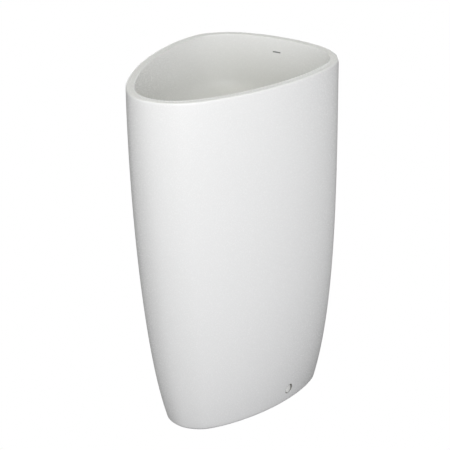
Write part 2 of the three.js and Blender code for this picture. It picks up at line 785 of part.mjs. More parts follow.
// ---------------------------------------------------------------- assembly

const finishes = {
  ceramic: { color: 0xf1f2ee, roughness: 0.12, metalness: 0 },
  chrome: { color: 0xd9dbdd, roughness: 0.1, metalness: 1 },
  steel: { color: 0xb4b7b9, roughness: 0.35, metalness: 1 },
  rubber: { color: 0x1f2021, roughness: 0.8, metalness: 0 },
  plastic: { color: 0xe9eae8, roughness: 0.4, metalness: 0 },
  nylon: { color: 0xd8d6cc, roughness: 0.5, metalness: 0 },
};

const group = new THREE.Group();
const plumbing = new THREE.Group();
plumbing.position.set(0, DRAIN_Y, 0);
group.add(plumbing);

// Adds one named piece in its finish.
function add(parent, name, geometry, finish) {
  const mesh = new THREE.Mesh(geometry, new THREE.MeshStandardMaterial(finishes[finish]));
  mesh.name = name;
  parent.add(mesh);
}

add(group, 'basin_body', basinBody(), 'ceramic');
add(plumbing, 'waste_body', wasteBody(), 'chrome');
add(plumbing, 'waste_top_seal', wasteTopSeal(), 'rubber');
add(plumbing, 'waste_lower_seal', wasteLowerSeal(), 'rubber');
add(plumbing, 'waste_slip_washer', wasteSlipWasher(), 'nylon');
add(plumbing, 'waste_back_nut', wasteBackNut(), 'chrome');
add(plumbing, 'plug_dome', plugDome(), 'chrome');
add(plumbing, 'plug_seal', plugSeal(), 'rubber');
add(plumbing, 'plug_stem', plugStem(), 'steel');
add(plumbing, 'plug_cartridge', plugCartridge(), 'nylon');
add(plumbing, 'plug_spring', plugSpring(), 'steel');
add(plumbing, 'trap_inlet_nut', trapInletNut(), 'plastic');
add(plumbing, 'trap_inlet_seal', trapSeal(tailZ), 'rubber');
add(plumbing, 'trap_inlet_tube', trapInletTube(), 'plastic');
add(plumbing, 'trap_head_nut', trapHeadNut(), 'plastic');
add(plumbing, 'trap_head_seal', trapHeadSeal(), 'rubber');
add(plumbing, 'trap_body', trapBody(), 'plastic');
add(plumbing, 'trap_cup', trapCup(), 'plastic');
add(plumbing, 'trap_cup_seal', trapCupSeal(), 'rubber');
add(plumbing, 'trap_outlet_nut', trapOutletNut(), 'plastic');
add(plumbing, 'trap_outlet_seal', trapOutletSeal(), 'rubber');
add(plumbing, 'trap_outlet_pipe', trapOutletPipe(), 'plastic');
add(plumbing, 'wall_rosette', wallRosette(), 'chrome');
for (const [word, side] of [['right', 1], ['left', -1]]) {
  add(group, `${word}_floor_bracket`, floorBracket(side), 'steel');
  add(group, `${word}_bracket_nut`, bracketNut(side), 'steel');
  add(group, `${word}_fixing_bush`, fixingBush(side), 'nylon');
  add(group, `${word}_fixing_screw`, fixingScrew(side), 'steel');
  add(group, `${word}_fixing_cap`, fixingCap(side), 'plastic');
}

export default group;
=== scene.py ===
"""Looks of a freestanding one-piece washbasin, built around its CAD frame.

The casting, its waste, trap and floor fixings are smooth surfaces worked out with numpy from a few
sizes in metres and from the boxes of the frame's nodes. +Z is up and +Y points to the wall.
"""
import json
import math

import bmesh
import bpy
import numpy as np
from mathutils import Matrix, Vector


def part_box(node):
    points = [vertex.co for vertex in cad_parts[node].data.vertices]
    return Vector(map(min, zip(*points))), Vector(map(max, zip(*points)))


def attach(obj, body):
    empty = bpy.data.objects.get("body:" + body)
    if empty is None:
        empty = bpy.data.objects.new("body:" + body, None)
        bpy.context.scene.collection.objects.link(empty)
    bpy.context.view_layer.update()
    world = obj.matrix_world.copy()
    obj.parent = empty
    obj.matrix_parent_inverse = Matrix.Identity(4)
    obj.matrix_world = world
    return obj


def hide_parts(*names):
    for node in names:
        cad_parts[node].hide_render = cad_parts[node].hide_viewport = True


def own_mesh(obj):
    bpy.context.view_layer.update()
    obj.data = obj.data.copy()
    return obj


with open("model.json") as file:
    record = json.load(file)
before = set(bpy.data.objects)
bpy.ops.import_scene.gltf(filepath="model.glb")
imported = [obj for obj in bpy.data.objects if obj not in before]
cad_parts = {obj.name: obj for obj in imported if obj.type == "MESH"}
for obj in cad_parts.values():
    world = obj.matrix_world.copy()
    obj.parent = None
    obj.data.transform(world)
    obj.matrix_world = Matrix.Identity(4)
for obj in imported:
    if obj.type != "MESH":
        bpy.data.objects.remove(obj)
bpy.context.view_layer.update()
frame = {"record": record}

MM = 0.001

# ---------- sizes of the casting

BASIN_LOW, BASIN_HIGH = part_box("basin_body")
RIM_HEIGHT = BASIN_HIGH.z
RIM_WIDTH = BASIN_HIGH.x - BASIN_LOW.x
REAR_Y = BASIN_HIGH.y
RIM_DEPTH = 2 * REAR_Y

SIDE_TAPER, SIDE_LATENESS = 70 * MM, 3.12
FRONT_TAPER, FRONT_LATENESS = 122 * MM, 1.57
REAR_TAPER, REAR_LATENESS = 5 * MM, 2.0
FOOT_TUCK, TUCK_POWER = 0.09, 10
RIM_SHAPE = np.array([0.0524, -0.0168, -0.0099, -0.0013, 0.0038])
FOOT_SHAPE = np.array([0.0492, -0.0296, -0.0106, 0.0046, 0.0029])

RIM_WALL, FOOT_WALL = 20 * MM, 18 * MM
RIM_OUTER_ROUND, RIM_INNER_ROUND = 4 * MM, 3 * MM
FOOT_ROUND, FOOT_CHAMFER = 8 * MM, 1.5 * MM
BOWL_DEPTH, BOWL_ROUND, BOWL_ROUND_ANGLE = 160 * MM, 55 * MM, 84
BOWL_FALL, FLOOR_THICKNESS, ROOF_ROUND = 9 * MM, 16 * MM, 30 * MM
SEAT_RADIUS, SEAT_DEPTH, SEAT_EDGE = 35 * MM, 4 * MM, 1.4 * MM
DRAIN_HOLE_RADIUS = 22.5 * MM
BOSS_THICKNESS, BOSS_RADIUS = 18 * MM, 45 * MM

BOWL_FLOOR_Z = RIM_HEIGHT - BOWL_DEPTH
DRAIN_Z = BOWL_FLOOR_Z - BOWL_FALL
SEAT_Z = DRAIN_Z - SEAT_DEPTH
BOSS_Z = SEAT_Z - BOSS_THICKNESS


def middle(node):
    """Centre of a CAD node's box."""
    low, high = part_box(node)
    return (low + high) / 2


DRAIN_Y = middle("waste_body").y

# Fixings: hole, cap seat and its softened edge.
FIXING_Y, FIXING_Z = middle("right_fixing_cap").y, middle("right_fixing_cap").z
GAP = 0.3 * MM
FIXING_SEAT_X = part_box("right_fixing_cap")[0].x - GAP
FIXING_HOLE_RADIUS, FIXING_SEAT_RADIUS = 7 * MM, 12 * MM
FIXING_EDGE = 0.7 * MM

# Necks of the trap, in millimetres, and the height of its outlet.
NECK, SOCKET = 20.8, 16.8
OUTLET_Z = middle("trap_outlet_pipe").z

# Opening in the back.
SERVICE_HALF_WIDTH = 85 * MM
SERVICE_BOTTOM = 120 * MM
SERVICE_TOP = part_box("wall_rosette")[1].z + 12 * MM
SERVICE_ROUND, SERVICE_EDGE = 40 * MM, 3 * MM

COLUMNS = 256


# ---------- mesh makers

def new_object(name, mesh):
    """A mesh as an object at the origin of the scene."""
    piece = bpy.data.objects.new(name, mesh)
    bpy.context.scene.collection.objects.link(piece)
    return piece


def signed_volume(rows, wrap_rows):
    """Volume enclosed by a closed grid: a sixth of the sum of corner triple products."""
    after = np.roll(rows, -1, axis=0) if wrap_rows else rows[1:]
    here = rows if wrap_rows else rows[:-1]
    a, b = here, np.roll(here, -1, axis=1)
    c, d = np.roll(after, -1, axis=1), after
    triple = np.einsum("ijk,ijk->", a, np.cross(b, c)) + np.einsum("ijk,ijk->", a, np.cross(c, d))
    return triple / 6


def skin(name, rows, wrap_rows=False):
    """A grid of points as quads. Columns close on themselves, and so do rows when wrap_rows is true.
    Coincident points, as at a pole, are welded. Faces point outwards."""
    rows = np.asarray(rows, float)
    if signed_volume(rows, wrap_rows) < 0:
        rows = rows[:, ::-1]
    count, columns = rows.shape[:2]
    row = np.arange(count if wrap_rows else count - 1)[:, None]
    column = np.arange(columns)[None, :]
    next_row, next_column = (row + 1) % count, (column + 1) % columns
    corners = np.stack([
        row * columns + column,
        row * columns + next_column,
        next_row * columns + next_column,
        next_row * columns + column,
    ], axis=-1).reshape(-1, 4)
    mesh = bpy.data.meshes.new(name)
    mesh.vertices.add(count * columns)
    mesh.vertices.foreach_set("co", rows.reshape(-1))
    mesh.loops.add(corners.size)
    mesh.loops.foreach_set("vertex_index", corners.reshape(-1).astype(np.int32))
    mesh.polygons.add(len(corners))
    mesh.polygons.foreach_set("loop_start", np.arange(0, corners.size, 4, dtype=np.int32))
    mesh.update(calc_edges=True)
    across = (column + np.array([0, 1, 1, 0])[:, None, None]) / columns + 0 * row
    along = (row + np.array([0, 0, 1, 1])[:, None, None]) / count + 0 * column
    uv = np.stack([across, along], axis=-1).transpose(1, 2, 0, 3)
    mesh.uv_layers.new(name="UVMap").uv.foreach_set("vector", uv.reshape(-1).astype(np.float32))
    weld(mesh)
    mesh.shade_smooth()
    return mesh


def weld(mesh):
    """Joins points that lie on each other and drops faces that this leaves with no area."""
    work = bmesh.new()
    work.from_mesh(mesh)
    bmesh.ops.remove_doubles(work, verts=work.verts, dist=1e-7)
    bmesh.ops.dissolve_degenerate(work, dist=1e-8, edges=work.edges)
    work.to_mesh(mesh)
    work.free()


def smoothed(mesh, degrees=32):
    """Smooth shading that stays crisp across edges sharper than an angle."""
    mesh.shade_smooth()
    mesh.set_sharp_from_angle(angle=math.radians(degrees))
    return mesh


def filleted(points, closed=False, steps=5):
    """A profile with rounded corners. Each point is (radius, height, fillet): the corner is replaced by
    an arc that touches both sides at fillet / tan(half angle) from it."""
    given = [np.array(point[:2], float) for point in points]
    radii = [point[2] if len(point) > 2 else 0.0 for point in points]
    out = []
    for i, here in enumerate(given):
        before, after = given[i - 1], given[(i + 1) % len(given)]
        if radii[i] == 0 or (not closed and i in (0, len(given) - 1)):
            out.append(here)
            continue
        back, ahead = before - here, after - here
        reach_back, reach_ahead = np.linalg.norm(back), np.linalg.norm(ahead)
        back, ahead = back / reach_back, ahead / reach_ahead
        half = math.acos(np.clip(back @ ahead, -1, 1)) / 2
        cut = min(radii[i] / math.tan(half), 0.49 * reach_back, 0.49 * reach_ahead)
        radius = cut * math.tan(half)
        centre = here + (back + ahead) / np.linalg.norm(back + ahead) * radius / math.sin(half)
        start, end = here + back * cut - centre, here + ahead * cut - centre
        first = math.atan2(start[1], start[0])
        turn = (math.atan2(end[1], end[0]) - first + math.pi) % (2 * math.pi) - math.pi
        angles = first + turn * np.linspace(0, 1, steps + 1)
        out.extend(centre + radius * np.stack([np.cos(angles), np.sin(angles)], axis=1))
    return np.array(out)


def stand(x, y, z, axis):
    """Where a turned piece stands: its origin and three directions, the last one along its axis."""
    along = np.array(axis, float)
    across = np.array((0, 1, 0) if abs(along[0]) > 0.5 else (1, 0, 0), float)
    return np.array((x, y, z), float), across, np.cross(along, across), along


def in_stand(place, across, up, along):
    """Grids of local millimetres as points of the scene."""
    origin, *directions = place
    steps = (value[..., None] * direction for value, direction in zip((across, up, along), directions))
    return origin + MM * sum(steps)


def turned(name, points, place, around=96, ring=False, shape=None, degrees=32):
    """A profile of (radius, height) in millimetres carried round a stand's axis. A ring's profile closes
    on itself. shape, if given, is a function of the grids of radius, height and angle that returns
    the radius."""
    points = np.asarray(points, float)
    angle = np.linspace(0, 2 * np.pi, around, endpoint=False)[None, :]
    radius, height = points[:, :1] + 0 * angle, points[:, 1:2] + 0 * angle
    if shape:
        radius = np.where(radius > 0, shape(radius, height, angle + 0 * radius), 0)
    rows = in_stand(place, radius * np.cos(angle), radius * np.sin(angle), height)
    return smoothed(skin(name, rows, wrap_rows=ring), degrees)


def ladder(radius, low, high, count):
    """A straight run of profile points, close enough together to carry relief."""
    return [(radius, height) for height in np.linspace(low, high, count)]


def thread(radius, depth, pitch, low, high):
    """A screw thread as a shape: r - depth (1 - cos(2 pi h / pitch - a)) / 2, faded in over a turn."""
    def cut(r, h, a):
        fade = np.clip(np.minimum(h - low, high - h) / pitch, 0, 1)
        ridge = (1 - np.cos(2 * np.pi * h / pitch - a)) / 2
        return r - depth * ridge * fade * (np.abs(r - radius) < 0.3)
    return cut


def grip(radius, depth, count, low, high):
    """Grooves along a nut or cup as a shape: depth ((1 - cos(count a)) / 2) squared, run out at the ends."""
    def cut(r, h, a):
        fade = np.clip(np.minimum(h - low, high - h) / 2, 0, 1)
        groove = ((1 - np.cos(count * a)) / 2) ** 2
        return r - depth * groove * fade * (np.abs(r - radius) < 0.3)
    return cut


def hexagon(flats, inner, outer):
    """Six flats as a shape: radii between two limits are held within the hexagon."""
    def cut(r, h, a):
        sector = (a + np.pi / 6) % (np.pi / 3) - np.pi / 6
        return np.where((r > inner) & (r < outer), np.minimum(r, flats / 2 / np.cos(sector)), r)
    return cut


def both(first, second):
    """Two shapes, one after the other."""
    return lambda r, h, a: second(first(r, h, a), h, a)


def joined(mesh, others, operation="UNION", degrees=32):
    """A mesh with others added to it or taken from it."""
    base = new_object("base", mesh)
    helpers = [new_object("helper", other) for other in others]
    for helper in helpers:
        step = base.modifiers.new("join", "BOOLEAN")
        step.operation, step.solver, step.object = operation, "EXACT", helper
    graph = bpy.context.evaluated_depsgraph_get()
    result = bpy.data.meshes.new_from_object(base.evaluated_get(graph))
    for helper in [base, *helpers]:
        bpy.data.objects.remove(helper)
    result.name = mesh.name
    return smoothed(result, degrees)


def washer(name, inner, outer, low, high, place, corner=0.4):
    """A flat ring with softened corners."""
    section = [(inner, low, corner), (outer, low, corner), (outer, high, corner), (inner, high, corner)]
    return turned(name, filleted(section, closed=True, steps=3), place, ring=True)


def round_rectangle(turn, half_width, half_height, corner):
    """A rectangle with round corners: a circle of the corner's radius, each quarter of it moved out to
    its own corner."""
    quarter_turn = np.pi / 2
    middle_turn = (np.floor(turn / quarter_turn) + 0.5) * quarter_turn
    across = np.sign(np.cos(middle_turn)) * (half_width - corner) + corner * np.cos(turn)
    up = np.sign(np.sin(middle_turn)) * (half_height - corner) + corner * np.sin(turn)
    return across, up


def rounded_bar(name, size, corner, place):
    """A bar whose section is a rectangle with round corners, drawn in to nothing at both ends by
    corner (1 - cos t) as the length runs over its last corner (1 - sin t)."""
    length, width, height = (value / 2 for value in size)
    turn = np.linspace(0, 2 * np.pi, 40, endpoint=False)
    end = np.radians(np.linspace(0, 90, 6))
    half = length - corner * (1 - np.sin(end[::-1]))
    drawn_in = corner * (1 - np.cos(end[::-1]))
    along = np.concatenate([[-length], -half, half[::-1], [length]])
    shrink = np.concatenate([[0], drawn_in, drawn_in[::-1], [0]])[:, None]
    closed_end = (np.arange(len(along)) % (len(along) - 1) > 0)[:, None]
    wide, tall = round_rectangle(turn, width, height, corner)
    wide = wide * (width - shrink) / width * closed_end
    tall = tall * (height - shrink) / height * closed_end
    return smoothed(skin(name, in_stand(place, along[:, None] + 0 * turn, wide, tall)))


# ---------- casting

def between(start, end, share):
    """The value at a share of the way from start to end."""
    return start + (end - start) * share


def tuck(drop, lateness):
    """Share of a taper used at a share of the way down, with a little more just above the floor."""
    return (1 - FOOT_TUCK) * drop ** lateness + FOOT_TUCK * drop ** TUCK_POWER


def plan_at(z):
    """Cosine terms of the plan at each height: distance from the axis to the tangent line whose normal
    is at an angle from the front is the sum of term k times cos(k angle). Last axis is k."""
    z = np.asarray(z, float)
    drop = np.clip(1 - z / RIM_HEIGHT, 0, 1)
    sides = tuck(drop, SIDE_LATENESS)
    width = RIM_WIDTH - 2 * SIDE_TAPER * sides
    rear = REAR_TAPER * tuck(drop, REAR_LATENESS)
    depth = RIM_DEPTH - FRONT_TAPER * tuck(drop, FRONT_LATENESS) - rear
    fine = width[..., None] * between(RIM_SHAPE, FOOT_SHAPE, sides[..., None])
    mean = (width + depth) / 4 - fine[..., 1]
    shift = (depth - RIM_DEPTH) / 2 + rear - fine[..., 0] - fine[..., 2] - fine[..., 4]
    long = (depth - width) / 4 - fine[..., 3]
    return np.concatenate([np.stack([mean, shift, long], axis=-1), fine], axis=-1)


def drain_plan(radius):
    """A circle about the drain, in the same terms."""
    return np.array([radius, -DRAIN_Y] + [0.0] * (len(RIM_SHAPE) + 1))


ORDER = np.arange(len(RIM_SHAPE) + 3)


def plan_points(plan, inset, angle):
    """Points of a plan set in by an inset: x = h sin a + h' cos a, y = h' sin a - h cos a, where h is
    the sum of the cosine terms less the inset and h' its derivative by the angle a."""
    reach = (plan * np.cos(ORDER * angle[..., None])).sum(-1) - inset
    turn = -(plan * ORDER * np.sin(ORDER * angle[..., None])).sum(-1)
    x = reach * np.sin(angle) + turn * np.cos(angle)
    y = turn * np.sin(angle) - reach * np.cos(angle)
    return x, y


def even_angles(columns):
    """Normal angles that put the columns about evenly along the plan: equal steps of the running sum
    of the plan's radius of curvature, the sum of term k times (1 - k squared) cos(k angle)."""
    angle = np.linspace(0, 2 * np.pi, 4001)
    plan = (plan_at(RIM_HEIGHT) + plan_at(0.0)) / 2
    radius = (plan * (1 - ORDER ** 2) * np.cos(ORDER * angle[:, None])).sum(-1)
    length = np.concatenate([[0], np.cumsum((radius + 0.08)[1:])])
    return np.interp(np.arange(columns) / columns * length[-1], length, angle)


def quarter(steps, last=90):
    """Quarter round as shares across and down, from flat to upright."""
    angle = np.radians(np.linspace(0, last, steps + 1))
    return 1 - np.cos(angle), np.sin(angle)


def plan_rings(z, inset):
    """Rings that follow the casting's plan at each height."""
    z = np.asarray(z, float)
    return plan_at(z), np.broadcast_to(inset, z.shape).astype(float), z


def drain_rings(profile):
    """Round rings about the drain from a profile of (radius, height)."""
    plans = np.stack([drain_plan(radius) for radius, _ in profile])
    return plans, np.zeros(len(profile)), profile[:, 1]


def outside_rings():
    """From the foot's flat, up the outside, to the top of the rim."""
    across, down = quarter(8)
    foot = plan_rings(FOOT_ROUND * across, FOOT_ROUND * (1 - down))
    top = RIM_HEIGHT - RIM_OUTER_ROUND
    wall = plan_rings(np.linspace(FOOT_ROUND, top, 120)[1:-1], 0.0)
    across, down = quarter(10)
    rim = plan_rings(top + RIM_OUTER_ROUND * down, RIM_OUTER_ROUND * across)
    return [foot, wall, rim]


def bowl_rings():
    """From the top of the rim down the inside of the bowl to the drain's seat and bore."""
    across, down = quarter(9)
    rim = plan_rings(RIM_HEIGHT - RIM_INNER_ROUND * across[1:], RIM_WALL - RIM_INNER_ROUND * (1 - down[1:]))
    round_top = BOWL_FLOOR_Z + BOWL_ROUND
    wall = plan_rings(np.linspace(RIM_HEIGHT - RIM_INNER_ROUND, round_top, 16)[1:-1], RIM_WALL)
    across, down = quarter(22, BOWL_ROUND_ANGLE)
    curve = plan_rings(round_top - BOWL_ROUND * down, RIM_WALL + BOWL_ROUND * across)
    edge_plan = curve[0][-1] - curve[1][-1] * (ORDER == 0)
    share = np.linspace(0, 1, 26)[1:-1, None]
    outer = SEAT_RADIUS + SEAT_EDGE
    floor_plan = between(edge_plan, drain_plan(outer), share)
    floor = floor_plan, np.zeros(len(share)), between(curve[2][-1], DRAIN_Z, share[:, 0])
    seat = drain_rings(filleted([
        (outer, DRAIN_Z),
        (SEAT_RADIUS, DRAIN_Z, SEAT_EDGE),
        (SEAT_RADIUS, SEAT_Z, 0.8 * MM),
        (DRAIN_HOLE_RADIUS, SEAT_Z, 1.0 * MM),
        (DRAIN_HOLE_RADIUS, BOSS_Z),
    ], steps=4))
    return [rim, wall, curve, floor, seat]


def hollow_rings():
    """From the drain boss out under the bowl and down the inside of the pedestal to the foot."""
    roof = BOWL_FLOOR_Z - FLOOR_THICKNESS
    boss = drain_rings(np.array([(BOSS_RADIUS, BOSS_Z), (BOSS_RADIUS + 2 * MM, DRAIN_Z - FLOOR_THICKNESS)]))
    across, down = (share[::-1] for share in quarter(8))
    start = plan_at(roof - ROOF_ROUND * (1 - down[0]))
    inset = FOOT_WALL + ROOF_ROUND * across[0]
    share = np.linspace(0, 1, 10)[1:-1, None]
    rim_plan = start - inset * (ORDER == 0)
    roof_plan = between(drain_plan(BOSS_RADIUS + 2 * MM), rim_plan, share)
    level = between(DRAIN_Z - FLOOR_THICKNESS, roof, share[:, 0])
    ceiling = roof_plan, np.zeros(len(share)), level
    curve = plan_rings(roof - ROOF_ROUND * (1 - down), FOOT_WALL + ROOF_ROUND * across)
    wall = plan_rings(np.linspace(roof - ROOF_ROUND, FOOT_CHAMFER, 34)[1:], FOOT_WALL)
    foot = plan_rings(np.array([0.0]), FOOT_WALL - FOOT_CHAMFER)
    return [boss, ceiling, curve, wall, foot]


def casting_skin():
    """The casting before its openings are cut: all its rings joined into one closed skin."""
    groups = outside_rings() + bowl_rings() + hollow_rings()
    plans, insets, heights = (np.concatenate([group[i] for group in groups]) for i in range(3))
    angle = even_angles(COLUMNS)[None, :]
    x, y = plan_points(plans[:, None, :], insets[:, None], angle + 0 * heights[:, None])
    rows = np.stack([x, y, heights[:, None] + 0 * x], axis=-1)
    glazed = sum(len(group[2]) for group in outside_rings() + bowl_rings()) / len(rows)
    return skin("basin_casting", rows, wrap_rows=True), glazed


def surface_angle(target, z, axis, low, high):
    """Normal angle at which the outside has a given x (axis 0) or y (axis 1), halved down on."""
    plan = plan_at(z)
    low, high = np.full(z.shape, low), np.full(z.shape, high)
    rising = plan_points(plan, 0.0, high)[axis] > plan_points(plan, 0.0, low)[axis]
    for _ in range(40):
        trial = (low + high) / 2
        short = (plan_points(plan, 0.0, trial)[axis] < target) == rising
        low, high = np.where(short, trial, low), np.where(short, high, trial)
    return (low + high) / 2


def side_surface(y, z):
    """x of the outside of the right wall at each y and height."""
    return plan_points(plan_at(z), 0.0, surface_angle(y, z, 1, 0.3, 2.4))[0]


def rear_surface(x, z):
    """y of the outside of the rear wall at each x and height."""
    return plan_points(plan_at(z), 0.0, surface_angle(x, z, 0, np.pi - 1.2, np.pi + 1.2))[1]


# Cutters: how far they reach into the wall and out of it, how far their mouths flare as a multiple
# of the edge's round, and a lift that keeps the mouth's end off the wall's own surface.
BORE_REACH, CUTTER_OVERRUN = 60 * MM, 30 * MM
MOUTH_REACH, CUTTER_LIFT = 1.3, 0.02 * MM


def fixing_cutter(side):
    """What a fixing hole takes away: bore, flat seat for the cap, and a mouth that flares by a quarter
    round into the wall's own surface, so its edge is soft all the way round."""
    angle = np.linspace(0, 2 * np.pi, 64, endpoint=False)[None, :]
    inner = filleted([
        (0, -BORE_REACH),
        (FIXING_HOLE_RADIUS, -BORE_REACH),
        (FIXING_HOLE_RADIUS, 0, 0.5 * MM),
        (FIXING_SEAT_RADIUS, 0, 0.5 * MM),
        (FIXING_SEAT_RADIUS, 1.2 * MM),
    ], steps=3)
    across, down = quarter(6)
    mouth_radius = FIXING_SEAT_RADIUS + FIXING_EDGE * np.append(across, [MOUTH_REACH, MOUTH_REACH])[:, None]
    mouth_depth = -FIXING_EDGE * (1 - np.append(down, [1.0, 1.0]))[:, None]
    mouth_depth[-2:] += np.array([[CUTTER_LIFT], [CUTTER_OVERRUN]])
    radius = np.concatenate([inner[:, :1], mouth_radius, [[0]]]) + 0 * angle
    y, z = FIXING_Y + radius * np.cos(angle), FIXING_Z + radius * np.sin(angle)
    surface = side_surface(y, z)
    x = np.concatenate([
        FIXING_SEAT_X + inner[:, 1:2] + 0 * angle,
        surface[len(inner):-1] + mouth_depth,
        surface[-1:] + CUTTER_OVERRUN,
    ])
    return skin("fixing_cutter", np.stack([side * x, y, z], axis=-1))


def capped(rows):
    """Rows with a pole at the middle of the first one and of the last one."""
    poles = rows.mean(axis=1, keepdims=True) + 0 * rows
    return np.concatenate([poles[:1], rows, poles[-1:]])


def service_cutter():
    """What the rear opening takes away: a rounded rectangle carried through the wall, its outer edge
    flaring by a quarter round into the wall's own surface."""
    turn = np.linspace(0, 2 * np.pi, 160, endpoint=False)
    half_height = (SERVICE_TOP - SERVICE_BOTTOM) / 2
    across, down = quarter(8)
    flare = SERVICE_EDGE * np.concatenate([[0, 0], across, [MOUTH_REACH, MOUTH_REACH]])[:, None]
    depth = -SERVICE_EDGE * (1 - np.concatenate([[0, 0], down, [1.0, 1.0]]))[:, None]
    x, up = round_rectangle(turn, SERVICE_HALF_WIDTH + flare, half_height + flare, SERVICE_ROUND + flare)
    z = SERVICE_BOTTOM + half_height + up
    y = rear_surface(x, z) + depth
    y[0] = y[0].min() - BORE_REACH
    y[1] -= 1 * MM
    y[-2] += CUTTER_LIFT
    y[-1] += CUTTER_OVERRUN
    return skin("service_cutter", capped(np.stack([x, y, z], axis=-1)))


def basin_casting():
    """The casting with its rear opening and its two fixing holes cut out."""
    mesh, glazed = casting_skin()
    cutters = [service_cutter(), fixing_cutter(1), fixing_cutter(-1)]
    return new_object("basin_casting", joined(mesh, cutters, "DIFFERENCE", 40)), glazed


# ---------- waste and plug

UP, DOWN, BACK, FRONT = (0, 0, 1), (0, 0, -1), (0, 1, 0), (0, -1, 0)
SEAL_INNER = 21.1


def over_drain(z, axis=UP):
    """A stand on the drain's axis."""
    return stand(0, DRAIN_Y, z, axis)


def height_of(node):
    """Lowest z of a CAD node, and its height in millimetres."""
    low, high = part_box(node)
    return low.z, (high.z - low.z) / MM


def waste():
    """Flange with a rolled edge and a dished mouth, threaded tail, and a bridge across the bore."""
    low, length = height_of("waste_body")
    flange = length - 3
    section = filleted([
        (17.5, 0, 0.4),
        (20.8, 0, 0.8),
        *ladder(20.8, 2, 68, 265),
        (20.8, flange, 0.8),
        (32, flange, 0.6),
        (32, length, 1.3),
        (28, length, 1.2),
        (19.5, flange + 1, 4),
        (17.5, flange - 2, 2),
    ], closed=True)
    tail = turned("waste_with_flange", section, over_drain(low), ring=True,
                  shape=thread(20.8, 0.9, 2.0, 3, 67))
    bridge = over_drain(low + 15 * MM)
    bar = rounded_bar("bar", (36, 10, 6), 1.5, bridge)
    hub = turned("hub", filleted([(0, -3), (8, -3, 1), (8, 3, 1), (0, 3)]), bridge, 48)
    bore = turned("bore", [(0, -9), (4.3, -9), (4.3, 9), (0, 9)], bridge, 48)
    return joined(joined(tail, [bar, hub]), [bore], "DIFFERENCE")


def tapered_seal():
    """The seal under the boss: a cone with two shallow lips."""
    low, height = height_of("waste_lower_seal")
    lips = [(30 + 4 * share, height * share) for share in np.linspace(0.08, 0.92, 40)]
    lips = [(r - 0.5 * (1 - math.cos(6 * math.pi * z / height)) / 2, z) for r, z in lips]
    section = [(SEAL_INNER, 0, 0.5), (30, 0), *lips, (34, height, 0.3), (SEAL_INNER, height, 0.5)]
    return turned("tapered_seal", filleted(section, closed=True), over_drain(low), ring=True)


def back_nut():
    """A flat hexagon nut, its corners turned off to a cone on both faces."""
    low, height = height_of("waste_back_nut")
    section = filleted([
        (SEAL_INNER, 0, 0.8), (27.2, 0), (31.3, 2.2), (31.3, height - 2.2), (27.2, height),
        (SEAL_INNER, height, 0.8),
    ], closed=True)
    return turned("hexagon_back_nut", section, over_drain(low), 144, True, hexagon(54, 27, 40), 20)


def plug():
    """Domed cover with a soft edge and a boss for the stem."""
    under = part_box("plug_dome")[0].z + 10 * MM
    crown = [(31 * share, 2.4 + 3 * (1 - share ** 2)) for share in np.linspace(0.955, 0, 30)]
    section = filleted([
        (0, -1), (3.3, -1, 0.3), (3.3, -10, 0.3), (7, -10, 0.6), (7, 0, 1.5), (31, 0, 0.9), (31, 2.4, 1.3),
        *crown,
    ])
    return turned("domed_plug", section, over_drain(under), 128)


def plug_rod():
    """Steel stem with a foot and a fine thread at its head."""
    low, length = height_of("plug_stem")
    section = filleted([
        (0, 0), (4.6, 0, 0.5), (4.6, 4, 0.6), (3, 4, 0.4), *ladder(3, 30, 42.5, 110), (3, length, 0.5),
        (0, length),
    ])
    return turned("plug_rod", section, over_drain(low), 48, shape=thread(3, 0.35, 0.9, 31, 42.4))


def cartridge():
    """Nylon barrel on a spigot, with long grooves for turning it by hand."""
    low, length = height_of("plug_cartridge")
    section = filleted([
        (0, 0), (4, 0, 0.6), (4, 8.3, 0.3), (6.6, 8.3, 0.8), *ladder(6.6, 12, length - 3, 24),
        (6.6, length, 0.8), (3.3, length, 0.4), (3.3, length - 3, 0.3), (5.1, length - 3, 0.3),
        (5.1, 12.3, 0.6), (0, 12.3),
    ])
    shape = grip(6.6, 0.5, 12, 13, length - 4)
    return turned("plug_barrel", section, over_drain(low), 120, shape=shape)


def spring():
    """Coil spring: a wire carried along (R cos a, R sin a, z), a = 2 pi turns t, z rising slowly at both
    ends so that the end coils lie closed, the wire tapering off over its last steps."""
    low, length = height_of("plug_spring")
    wire, coil, turns = 0.45, 3.95, 8
    share = np.linspace(0, 1, 1400)[:, None]
    angle = 2 * np.pi * turns * share
    rise = share - 0.75 * np.sin(2 * np.pi * share) / (2 * np.pi)
    height = wire + (length - 2 * wire) * rise
    section = np.linspace(0, 2 * np.pi, 16, endpoint=False)[None, :]
    thick = wire * np.sqrt(np.clip(1 - (2 * share - 1) ** 40, 0, 1))
    radius = coil + thick * np.cos(section)
    rows = in_stand(over_drain(low), radius * np.cos(angle), radius * np.sin(angle),
                    height + thick * np.sin(section))
    return skin("plug_spring_wire", rows)


# ---------- bottle trap

TUBE_HOLE, PIPE, BORE, PIPE_FLANGE = 16.3, 16.0, 14.4, 20.5


def ribbed_nut(name, place):
    """Compression nut: grips a thread above its shoulder, a tube through its foot, ribs all round."""
    section = filleted([
        (TUBE_HOLE, 0, 0.4), (24, 0, 1.2), (26, 2, 1), *ladder(26, 3, 21, 24), (26, 24, 1),
        (SEAL_INNER, 24, 0.6), (SEAL_INNER, 8, 0.4), (TUBE_HOLE, 8, 0.4),
    ], closed=True)
    return turned(name, section, place, 288, True, grip(26, 1.1, 24, 3.4, 20.6))


def inlet_pipe():
    """Short tube with a flange that hangs on the nut."""
    low, length = height_of("trap_inlet_tube")
    section = filleted([
        (BORE, 0, 0.3), (PIPE, 0, 0.6), (PIPE, length - 2.5, 0.8), (PIPE_FLANGE, length - 2.5, 0.5),
        (PIPE_FLANGE, length, 0.5), (BORE, length, 0.8),
    ], closed=True)
    return turned("inlet_pipe", section, over_drain(low), ring=True)


